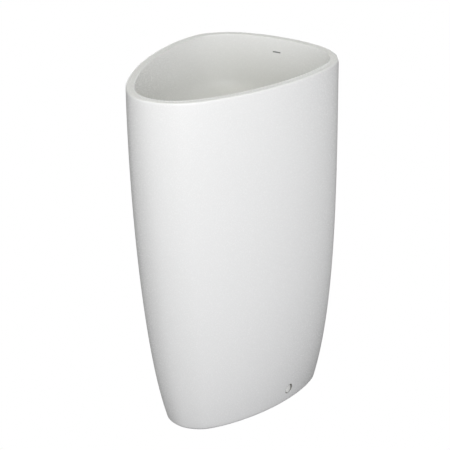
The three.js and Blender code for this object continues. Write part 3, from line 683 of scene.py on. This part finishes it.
def trap_bottle():
    """Upper half of the trap: shouldered bottle, threaded neck and skirt, dip tube, threaded spigot."""
    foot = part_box("trap_cup_seal")[1].z + GAP
    shell = turned("bottle_trap_body", filleted([
        (27.4, 0, 0.4), (30, 0, 0.5), *ladder(30, 1, 15, 48), (30, 59.6, 5), (24, 65.6, 2),
        (NECK, 65.6, 0.8), *ladder(NECK, 67, 80.8, 60), (NECK, 81.6, 0.4), (SOCKET, 81.6, 0.4),
        (SOCKET, -14, 0.3), (SOCKET + 2, -14, 0.3), (SOCKET + 2, 57.6, 1.5), (27.4, 57.6, 3),
    ], closed=True), over_drain(foot), ring=True,
        shape=both(thread(NECK, 0.9, 2.5, 67, 80.5), thread(30, 0.8, 3, 1.2, 14.8)))
    along = stand(0, DRAIN_Y, OUTLET_Z, BACK)
    spigot = turned("spigot", filleted([
        (0, 20.8), (NECK, 20.8), *ladder(NECK, 42, 59, 60), (NECK, 60, 0.5), (0, 60),
    ]), along, shape=thread(NECK, 0.9, 2.5, 42.5, 58.5))
    bore = turned("bore", [(0, 19), (SOCKET, 19), (SOCKET, 64), (0, 64)], along)
    return joined(joined(shell, [spigot]), [bore], "DIFFERENCE")


def trap_cup():
    """Screw-off cup, ribbed on the outside, with a ledge for its seal and a rounded well."""
    low, height = height_of("trap_cup")
    section = filleted([
        (0, 0), (20.9, 0, 4), (28.9, 3, 5), (32.9, 12, 4), *ladder(32.9, 17, 57, 36), (32.9, height, 0.9),
        (30.3, height, 0.5), (30.3, 43, 0.3), (26.3, 43, 0.4), (26.3, 14, 3), (18.3, 4.6, 4), (0, 2.6),
    ])
    return turned("screw_cup", section, over_drain(low), 288, shape=grip(32.9, 1.2, 36, 18, 56))


def outlet_tube():
    """Straight tube from the trap's spigot out to the wall."""
    low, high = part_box("trap_outlet_pipe")
    section = [(BORE, 0, 0.3), (PIPE, 0, 0.5), (PIPE, (high.y - low.y) / MM, 0.3),
               (BORE, (high.y - low.y) / MM, 0.3)]
    return turned("outlet_tube", filleted(section, closed=True), stand(0, low.y, OUTLET_Z, BACK), ring=True)


def wall_plate():
    """Rosette: a flat rim, then a soft S up to the collar around the tube."""
    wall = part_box("wall_rosette")[1].y
    swell = [(33.2 - 12.4 * t, 1.5 + 5.3 * (3 * t ** 2 - 2 * t ** 3)) for t in np.linspace(0.04, 0.96, 24)]
    section = [(TUBE_HOLE, 0), (34, 0, 0.3), (34, 1.5, 0.8), *swell, (20.4, 7, 0.5), (TUBE_HOLE, 7, 0.6)]
    return turned("wall_plate", filleted(section, closed=True), stand(0, wall, OUTLET_Z, FRONT), 128, True)


# ---------- floor fixings

BRACKET_FACE = -31.0
SCREW, SCREW_HOLE = 3.0, 3.3


def beside(side, out=0.0):
    """A stand in a fixing hole, pointing out, its origin a few millimetres out from the cap's seat."""
    return stand(side * (FIXING_SEAT_X + out * MM), FIXING_Y, FIXING_Z, (side, 0, 0))


def bush(side):
    """Flanged sleeve that lines the fixing hole."""
    section = [(SCREW_HOLE, BRACKET_FACE + 0.3, 0.3), (6.7, BRACKET_FACE + 0.3, 0.8), (6.7, 0.3, 0.2),
               (9, 0.3, 0.3), (9, 1.5, 0.4), (SCREW_HOLE, 1.5, 0.3)]
    return turned("fixing_sleeve", filleted(section, closed=True), beside(side), 64, True)


def screw(side):
    """Machine screw with a low head and a hexagon socket in it."""
    section = filleted([
        (0, -43), (2, -43), (SCREW, -42), *ladder(SCREW, -41.6, -12, 240), (SCREW, 1.8, 0.2),
        (5.5, 1.8, 0.3), (5.5, 2.9, 0.9), (4.3, 4.3, 1), (1.95, 4.4, 0.2), (1.75, 2.5), (0, 2.3),
    ])
    shape = both(thread(SCREW, 0.4, 1, -41.5, -12.2), hexagon(3, 1.55, 1.8))
    return turned("fixing_bolt", section, beside(side), 48, shape=shape)


def cap(side):
    """Push-in cap: a thin skirt and a gently domed face with a soft edge."""
    crown = [(11 * share, 5.4 + 1.0 * (1 - share ** 2)) for share in np.linspace(0.78, 0, 14)]
    section = filleted([(0, 4.5), (9.2, 4.5, 0.4), (9.2, 0.3, 0.2), (11, 0.3, 0.3), (11, 5.2, 2.0), *crown])
    return turned("fixing_cap", section, beside(side), 96)


def bracket_nut(side):
    """Hexagon nut behind the bracket's upright."""
    section = [(SCREW_HOLE, 0, 0.4), (4.8, 0), (5.85, 1), (5.85, 4), (4.8, 5), (SCREW_HOLE, 5, 0.4)]
    return turned("hexagon_nut", filleted(section, closed=True), beside(side, BRACKET_FACE - 8.3), 96, True,
                  hexagon(10, 4.75, 7), 20)


def bracket_path():
    """Outer face of the bracket's L from the end of its foot to its top, as x, z and the direction
    across the plate: two straight runs joined by a quarter round."""
    foot, rise, bend = 48.0, 62.0, 4.5
    turn = np.radians(np.linspace(0, 90, 9))[1:-1]
    bottom, up = np.linspace(-foot, -bend, 30), np.linspace(bend, rise, 40)
    x = np.concatenate([bottom, bend * np.sin(turn) - bend, 0 * up])
    z = np.concatenate([0 * bottom, bend - bend * np.cos(turn), up])
    inward_x = np.concatenate([0 * bottom, -np.sin(turn), 0 * up - 1])
    inward_z = np.concatenate([0 * bottom + 1, np.cos(turn), 0 * up])
    return x, z, inward_x, inward_z


def bracket(side):
    """Angle bracket: a plate 3 mm thick carried along an L with a bent corner. Half its width at a
    distance d from an end is w - r + sqrt(r^2 - (r - d)^2), which rounds its outer corners."""
    half_width, thickness, edge = 20.0, 3.0, 0.6
    foot_corner, top_corner = 4.0, 8.0
    path_x, path_z, inward_x, inward_z = (line[:, None] for line in bracket_path())
    start = path_x - path_x[0] + path_z
    finish = start[-1] - start
    corner = np.where(start < finish, foot_corner, top_corner)
    missing = np.clip(corner - np.minimum(start, finish), 0, None)
    width = half_width - corner + np.sqrt(np.clip(corner ** 2 - missing ** 2, 0, None))
    loop = np.linspace(0, 2 * np.pi, 32, endpoint=False)
    across, depth = round_rectangle(loop, width, thickness / 2, edge)
    depth = depth + thickness / 2
    rows = np.stack([path_x + inward_x * depth, across, path_z + inward_z * depth], axis=-1)
    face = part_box("right_floor_bracket")[1].x
    rows = capped(rows) * MM * (side, 1, 1) + (side * face, FIXING_Y, 0)
    through = turned("hole", [(0, -9), (SCREW_HOLE, -9), (SCREW_HOLE, 9), (0, 9)],
                     beside(side, BRACKET_FACE), 48)
    floor_hole = turned("hole", [(0, -9), (4.5, -9), (4.5, 9), (0, 9)],
                        stand(side * (face - 28.8 * MM), FIXING_Y, 0, UP), 48)
    return joined(skin("angle_bracket", rows), [through, floor_hole], "DIFFERENCE")


# ---------- materials

def new_material(name):
    """A material, its node tree and its Principled shader."""
    material = bpy.data.materials.new(name)
    material.use_nodes = True
    return material, material.node_tree, material.node_tree.nodes["Principled BSDF"]


def new_group(name, inputs, outputs):
    """An empty shader node group with named sockets, given as (name, socket type, default)."""
    group = bpy.data.node_groups.new(name, "ShaderNodeTree")
    for label, kind, default in inputs:
        socket = group.interface.new_socket(name=label, in_out="INPUT", socket_type=kind)
        socket.default_value = default
    for label, kind in outputs:
        group.interface.new_socket(name=label, in_out="OUTPUT", socket_type=kind)
    return group, group.nodes.new("NodeGroupInput"), group.nodes.new("NodeGroupOutput")


def feed(tree, socket, value):
    """Fills an input socket with a constant, or with a link from an output socket."""
    if isinstance(value, (int, float, tuple)):
        socket.default_value = value
    else:
        tree.links.new(value, socket)


def filled(tree, node, **values):
    """A node with its inputs filled. An underscore in a label stands for a space."""
    for label, value in values.items():
        feed(tree, node.inputs[label.replace("_", " ")], value)
    return node


def noise(tree, place, scale, detail, roughness=0.5):
    """A noise texture read at a place."""
    texture = tree.nodes.new("ShaderNodeTexNoise")
    filled(tree, texture, Vector=place, Scale=scale, Detail=detail, Roughness=roughness)
    return texture.outputs["Fac"]


def ranged(tree, value, low, high, to_low=0.0, to_high=1.0, smooth=True):
    """A value mapped from one range to another and held at its ends."""
    step = tree.nodes.new("ShaderNodeMapRange")
    step.interpolation_type = "SMOOTHSTEP" if smooth else "LINEAR"
    filled(tree, step, Value=value, From_Min=low, From_Max=high, To_Min=to_low, To_Max=to_high)
    return step.outputs["Result"]


def math_node(tree, operation, *values):
    """One arithmetic step on sockets or numbers."""
    step = tree.nodes.new("ShaderNodeMath")
    step.operation = operation
    for socket, value in zip(step.inputs, values):
        feed(tree, socket, value)
    return step.outputs[0]


def product(tree, first, second):
    return math_node(tree, "MULTIPLY", first, second)


def total(tree, first, second):
    return math_node(tree, "ADD", first, second)


def difference(tree, first, second):
    return math_node(tree, "SUBTRACT", first, second)


def blended(tree, share, first, second):
    """Two colours mixed by a share. A colour is a socket or four numbers."""
    mix = tree.nodes.new("ShaderNodeMix")
    mix.data_type = "RGBA"
    filled(tree, mix, Factor=share)
    for label, colour in (("A", first), ("B", second)):
        feed(tree, next(s for s in mix.inputs if s.name == label and s.type == "RGBA"), colour)
    return next(s for s in mix.outputs if s.type == "RGBA")


def build_mottle():
    """Shared group: a base colour drifting towards a second one in soft clouds and finer flecks."""
    tree, source, result = new_group(
        "mottle",
        [("Base", "NodeSocketColor", (0.8, 0.8, 0.8, 1)), ("Drift", "NodeSocketColor", (0.7, 0.7, 0.7, 1)),
         ("Cloud Scale", "NodeSocketFloat", 6.0), ("Fleck Scale", "NodeSocketFloat", 400.0),
         ("Amount", "NodeSocketFloat", 0.3)],
        [("Color", "NodeSocketColor")])
    place = tree.nodes.new("ShaderNodeTexCoord").outputs["Object"]
    cloud = ranged(tree, noise(tree, place, source.outputs["Cloud Scale"], 3), 0.3, 0.7)
    fleck = ranged(tree, noise(tree, place, source.outputs["Fleck Scale"], 2), 0.45, 0.75)
    mixed = total(tree, product(tree, cloud, 0.7), product(tree, fleck, 0.3))
    mask = product(tree, mixed, source.outputs["Amount"])
    colour = blended(tree, mask, source.outputs["Base"], source.outputs["Drift"])
    filled(tree, result, Color=colour)
    return tree


def build_relief():
    """Shared group: a height made of broad waves and fine grain, and a roughness that follows it."""
    tree, source, result = new_group(
        "relief",
        [("Wave Scale", "NodeSocketFloat", 12.0), ("Grain Scale", "NodeSocketFloat", 900.0),
         ("Grain Share", "NodeSocketFloat", 0.2), ("Smoothest", "NodeSocketFloat", 0.1),
         ("Roughest", "NodeSocketFloat", 0.2)],
        [("Height", "NodeSocketFloat"), ("Roughness", "NodeSocketFloat")])
    place = tree.nodes.new("ShaderNodeTexCoord").outputs["Object"]
    wave = noise(tree, place, source.outputs["Wave Scale"], 2)
    grain = noise(tree, place, source.outputs["Grain Scale"], 3, 0.6)
    height = total(tree, wave, product(tree, grain, source.outputs["Grain Share"]))
    spread = difference(tree, source.outputs["Roughest"], source.outputs["Smoothest"])
    rough = total(tree, source.outputs["Smoothest"], product(tree, grain, spread))
    filled(tree, result, Height=height, Roughness=rough)
    return tree


MOTTLE, RELIEF = build_mottle(), build_relief()


def placed(tree, group, **values):
    """A shared group in a material, with its own values."""
    node = tree.nodes.new("ShaderNodeGroup")
    node.node_tree = group
    return filled(tree, node, **values)


def bump(tree, shader, height, distance):
    """A height as relief on a shader."""
    node = filled(tree, tree.nodes.new("ShaderNodeBump"), Height=height, Distance=distance, Strength=1.0)
    filled(tree, shader, Normal=node.outputs["Normal"])


def finish_material(name, base, drift, metallic=0.0, smooth=0.2, rough=0.35, relief=0.05 * MM):
    """A material whose colour comes from the mottle and whose roughness and relief come from the
    relief group, each with this material's own values."""
    material, tree, shader = new_material(name)
    colour = placed(tree, MOTTLE, Base=(*base, 1), Drift=(*drift, 1), Cloud_Scale=8.0,
                    Fleck_Scale=500.0, Amount=0.3)
    surface = placed(tree, RELIEF, Wave_Scale=14.0, Grain_Scale=900.0, Grain_Share=0.25,
                     Smoothest=smooth, Roughest=rough)
    filled(tree, shader, Base_Color=colour.outputs["Color"], Roughness=surface.outputs["Roughness"],
           Metallic=metallic, IOR=1.5, Coat_Weight=0.0)
    bump(tree, shader, surface.outputs["Height"], relief)
    return material


GLAZE_COLOUR, GLAZE_DRIFT = (0.865, 0.866, 0.86), (0.84, 0.842, 0.832)
STAMP_X, STAMP_Z = -17.5 * MM, RIM_HEIGHT - 34.5 * MM
STAMP_HALF_WIDTH, STAMP_HALF_HEIGHT, STAMP_SOFTNESS = 10.5 * MM, 1.7 * MM, 0.4 * MM
# The stamp is a printed mark. The recess colour is painted shade: a dark that stands in for the shadow
# inside a cap's recess and round its edge.
STAMP_COLOUR, RECESS_SHADE_COLOUR = (0.2, 0.21, 0.21, 1), (0.24, 0.24, 0.215, 1)
RECESS_SHADE_MARGIN, RECESS_SHADE_SOFTNESS = 0.8 * MM, 0.25 * MM


def ceramic_material(glazed_until):
    """White glaze over fired clay. The casting's own UV runs along its profile from the foot over the
    rim to the drain, then back down inside, so it tells the glazed side from the bare side. The glaze
    stops just above the floor, and a small plain stamp sits under it high on the rear wall. Each cap's
    recess gets painted shade: a dark ring that stands in for its shadow."""
    material, tree, shader = new_material("glazed_ceramic")
    texture = tree.nodes.new("ShaderNodeTexCoord")
    place = filled(tree, tree.nodes.new("ShaderNodeSeparateXYZ"), Vector=texture.outputs["Object"])
    profile = filled(tree, tree.nodes.new("ShaderNodeSeparateXYZ"), Vector=texture.outputs["UV"])
    clay = placed(tree, MOTTLE, Base=(0.8, 0.76, 0.68, 1), Drift=(0.66, 0.6, 0.5, 1),
                  Cloud_Scale=14.0, Fleck_Scale=900.0, Amount=0.8)
    glaze = placed(tree, MOTTLE, Base=(*GLAZE_COLOUR, 1), Drift=(*GLAZE_DRIFT, 1),
                   Cloud_Scale=5.0, Fleck_Scale=260.0, Amount=0.35)
    ragged = product(tree, noise(tree, texture.outputs["Object"], 60.0, 3), 0.006)
    above = ranged(tree, difference(tree, place.outputs["Z"], ragged), -1.6 * MM, -0.4 * MM)
    upper = ranged(tree, profile.outputs["Y"], glazed_until - 0.004, glazed_until, 1.0, 0.0)
    covered = product(tree, above, upper)
    glaze_colour = blended(tree, stamp_mask(tree, place), glaze.outputs["Color"], STAMP_COLOUR)
    colour = blended(tree, covered, clay.outputs["Color"], glaze_colour)
    # Painted shade: each cap's recess and its softened edge are coloured dark to stand in for their shadow.
    colour = blended(tree, recess_shade_mask(tree, place), colour, RECESS_SHADE_COLOUR)
    ripples = placed(tree, RELIEF, Wave_Scale=26.0, Grain_Scale=420.0, Grain_Share=0.04,
                     Smoothest=0.24, Roughest=0.3)
    grit = placed(tree, RELIEF, Wave_Scale=90.0, Grain_Scale=1500.0, Grain_Share=0.8,
                  Smoothest=0.7, Roughest=0.95)
    rough = blended(tree, covered, grit.outputs["Roughness"], ripples.outputs["Roughness"])
    height = blended(tree, covered, grit.outputs["Height"], ripples.outputs["Height"])
    filled(tree, shader, Base_Color=colour, Roughness=rough, IOR=1.5)
    bump(tree, shader, height, 0.12 * MM)
    return material


def stamp_mask(tree, place):
    """One inside a small rounded bar high on the inner face of the rear wall, zero elsewhere."""
    across = math_node(tree, "ABSOLUTE", difference(tree, place.outputs["X"], STAMP_X))
    up = math_node(tree, "ABSOLUTE", difference(tree, place.outputs["Z"], STAMP_Z))
    wide = ranged(tree, across, STAMP_HALF_WIDTH - STAMP_SOFTNESS, STAMP_HALF_WIDTH, 1.0, 0.0)
    tall = ranged(tree, up, STAMP_HALF_HEIGHT - STAMP_SOFTNESS, STAMP_HALF_HEIGHT, 1.0, 0.0)
    inside = ranged(tree, place.outputs["Y"], REAR_Y - 0.6 * RIM_WALL, REAR_Y - 0.5 * RIM_WALL, 1.0, 0.0)
    rear = ranged(tree, place.outputs["Y"], 0.8 * REAR_Y, 0.85 * REAR_Y)
    bar = product(tree, wide, tall)
    return product(tree, product(tree, bar, inside), rear)


def recess_shade_mask(tree, place):
    """Mask of painted shade: one on the wall of a cap's recess and on its softened edge, zero elsewhere,
    so that a dark ring stands in for the recess's shadow. The softened edge reaches a small margin past
    the recess, measured from the fixing's axis."""
    along = difference(tree, place.outputs["Y"], FIXING_Y)
    up = difference(tree, place.outputs["Z"], FIXING_Z)
    squares = [product(tree, part, part) for part in (along, up)]
    radius = math_node(tree, "SQRT", total(tree, *squares))
    edge = FIXING_SEAT_RADIUS + RECESS_SHADE_MARGIN
    return ranged(tree, radius, edge, edge + RECESS_SHADE_SOFTNESS, 1.0, 0.0)


# ---------- assembly

casting, GLAZED_UNTIL = basin_casting()
casting.data.materials.clear()
casting.data.materials.append(ceramic_material(GLAZED_UNTIL))
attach(casting, "basin")
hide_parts("basin_body")

FINISHES = {
    "chrome": finish_material("chrome", (0.78, 0.79, 0.8), (0.7, 0.71, 0.73), metallic=1.0,
                              smooth=0.04, rough=0.1, relief=0.01 * MM),
    "steel": finish_material("stainless_steel", (0.6, 0.6, 0.6), (0.5, 0.5, 0.51), metallic=1.0,
                             smooth=0.25, rough=0.45, relief=0.03 * MM),
    "rubber": finish_material("rubber", (0.02, 0.02, 0.021), (0.05, 0.05, 0.05), smooth=0.6, rough=0.85,
                              relief=0.08 * MM),
    "nylon": finish_material("nylon", (0.72, 0.7, 0.63), (0.66, 0.63, 0.55), smooth=0.35, rough=0.5),
    "trap_plastic": finish_material("white_polypropylene", (0.8, 0.8, 0.78), (0.74, 0.74, 0.71),
                                    smooth=0.3, rough=0.45),
    "cap_plastic": finish_material("white_cap_plastic", (0.82, 0.82, 0.8), (0.78, 0.78, 0.76),
                                   smooth=0.15, rough=0.25),
}
SLOTS = {part["node"]: part["material_slot"] for part in frame["record"]["subparts"]}


def fit(mesh, node, body="basin"):
    """Puts a finished mesh in the place of a CAD node, with the finish of its slot."""
    mesh.materials.clear()
    mesh.materials.append(FINISHES[SLOTS[node]])
    piece = new_object(mesh.name, mesh)
    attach(piece, body)
    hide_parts(node)
    return piece


def fit_seal(name, node, inner, outer, body="basin", axis=UP):
    """Puts a flat ring in the place of a CAD node that lies across an axis."""
    low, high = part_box(node)
    if axis == UP:
        place, thickness = over_drain(low.z), high.z - low.z
    else:
        place, thickness = stand(0, low.y, OUTLET_Z, axis), high.y - low.y
    fit(washer(name, inner, outer, 0, thickness / MM, place), node, body)


def fit_waste_and_plug():
    """The waste, its seals and the plug. The spring gets a mesh of its own; the plug travels 8 mm."""
    fit(waste(), "waste_body")
    fit_seal("flange_seal", "waste_top_seal", SEAL_INNER, 31)
    fit(tapered_seal(), "waste_lower_seal")
    fit_seal("slip_washer", "waste_slip_washer", SEAL_INNER, 30)
    fit(back_nut(), "waste_back_nut")
    fit(plug(), "plug_dome", "plug")
    fit_seal("plug_lip_seal", "plug_seal", 19.5, 22.5, "plug")
    fit(plug_rod(), "plug_stem", "plug")
    fit(cartridge(), "plug_cartridge")
    coil = fit(spring(), "plug_spring")
    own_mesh(coil)


def fit_trap():
    """The bottle trap from its inlet nut to the plate on the wall."""
    fit(ribbed_nut("inlet_nut", over_drain(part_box("trap_inlet_nut")[0].z)), "trap_inlet_nut")
    fit_seal("inlet_seal", "trap_inlet_seal", TUBE_HOLE, PIPE_FLANGE)
    fit(inlet_pipe(), "trap_inlet_tube")
    fit(ribbed_nut("neck_nut", over_drain(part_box("trap_head_nut")[1].z, DOWN)), "trap_head_nut")
    fit_seal("neck_seal", "trap_head_seal", TUBE_HOLE, PIPE_FLANGE)
    fit(trap_bottle(), "trap_body")
    fit(trap_cup(), "trap_cup")
    fit_seal("cup_seal", "trap_cup_seal", 27.4, 29.7)
    outlet_nut = stand(0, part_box("trap_outlet_nut")[1].y, OUTLET_Z, FRONT)
    fit(ribbed_nut("outlet_nut", outlet_nut), "trap_outlet_nut")
    fit_seal("outlet_seal", "trap_outlet_seal", TUBE_HOLE, PIPE_FLANGE, axis=BACK)
    fit(outlet_tube(), "trap_outlet_pipe")
    fit(wall_plate(), "wall_rosette")


def fit_fixings():
    """Bracket, nut, sleeve, screw and cap on each side."""
    for word, side in (("right", 1), ("left", -1)):
        fit(bracket(side), f"{word}_floor_bracket")
        fit(bracket_nut(side), f"{word}_bracket_nut")
        fit(bush(side), f"{word}_fixing_bush")
        fit(screw(side), f"{word}_fixing_screw")
        fit(cap(side), f"{word}_fixing_cap")


fit_waste_and_plug()
fit_trap()
fit_fixings()


# ---------- floor, light and camera

KEY_TINT, AMBIENT_TINT = (0.985, 0.985, 1.02), (1.0, 1.005, 0.925)


def add_floor():
    """A wide pale floor. Rays from the camera see it lit evenly, all other rays see a softer grey."""
    mesh = bpy.data.meshes.new("floor")
    mesh.from_pydata([(-9, -9, 0), (9, -9, 0), (9, 9, 0), (-9, 9, 0)], [], [(0, 1, 2, 3)])
    floor = new_object("floor", mesh)
    material, tree, shader = new_material("pale_floor")
    filled(tree, shader, Base_Color=(0.12, 0.12, 0.118, 1), Roughness=0.9)
    glow = filled(tree, tree.nodes.new("ShaderNodeEmission"), Color=(1, 1, 1, 1))
    seen = tree.nodes.new("ShaderNodeLightPath").outputs["Is Camera Ray"]
    mix = tree.nodes.new("ShaderNodeMixShader")
    for socket, value in zip(mix.inputs, (seen, shader.outputs["BSDF"], glow.outputs["Emission"])):
        feed(tree, socket, value)
    filled(tree, tree.nodes["Material Output"], Surface=mix.outputs["Shader"])
    mesh.materials.append(material)


def add_world(horizon, zenith):
    """A soft surround for light and reflections, its grey running from the horizon to the zenith with
    the height of the direction, and white where the camera sees it."""
    world = bpy.data.worlds.new("studio")
    world.use_nodes = True
    tree = world.node_tree
    seen = tree.nodes.new("ShaderNodeLightPath").outputs["Is Camera Ray"]
    texture = tree.nodes.new("ShaderNodeTexCoord")
    way = filled(tree, tree.nodes.new("ShaderNodeSeparateXYZ"), Vector=texture.outputs["Generated"])
    height = ranged(tree, way.outputs["Z"], 0.0, 1.0, smooth=False)
    low, high = (tuple(level * share for share in AMBIENT_TINT) for level in (horizon, zenith))
    ambient = blended(tree, height, (*low, 1), (*high, 1))
    filled(tree, tree.nodes["Background"], Color=blended(tree, seen, ambient, (1, 1, 1, 1)))
    bpy.context.scene.world = world


def add_softbox(name, azimuth, elevation, power, tint=KEY_TINT, width=3.0, height=2.2, distance=3.4):
    """An area light at an azimuth and elevation about the object, turned to face its middle."""
    light = bpy.data.lights.new(name, "AREA")
    light.shape, light.size, light.size_y = "RECTANGLE", width, height
    light.energy, light.color = power, tint
    lamp = bpy.data.objects.new(name, light)
    back = direction(azimuth, elevation)
    lamp.location = Vector((0, 0, 0.45)) + back * distance
    lamp.rotation_euler = back.to_track_quat("Z", "Y").to_euler()
    bpy.context.scene.collection.objects.link(lamp)


def direction(azimuth, elevation):
    """Unit vector from the object towards an azimuth (0 is in front, 90 to the right) and elevation."""
    a, e = math.radians(azimuth), math.radians(elevation)
    return Vector((math.sin(a) * math.cos(e), -math.cos(a) * math.cos(e), math.sin(e)))


def add_camera(azimuth, elevation, distance, lens, aim):
    """The camera, level, looking at the aim."""
    camera = bpy.data.cameras.new("camera")
    camera.lens, camera.sensor_width = lens, 36
    holder = bpy.data.objects.new("camera", camera)
    back = direction(azimuth, elevation)
    holder.location = Vector(aim) + back * distance
    holder.rotation_euler = back.to_track_quat("Z", "Y").to_euler()
    bpy.context.scene.collection.objects.link(holder)
    bpy.context.scene.camera = holder


add_floor()
add_world(0.02, 0.45)
add_softbox("key", 50, 12, 89, width=3.6)
add_softbox("left_fill", -40, 12, 43)
add_softbox("top", 20, 52, 24, AMBIENT_TINT)
add_softbox("right_fill", 110, 12, 17)
add_softbox("rear_fill", -150, 5, 28, height=1.1)
add_softbox("rear_top", -150, 30, 12)
add_camera(azimuth=33.29, elevation=21.82, distance=4.6685, lens=157.54, aim=(-0.0064, 0.0279, 0.4523))
bpy.context.scene.view_settings.view_transform = "Standard"
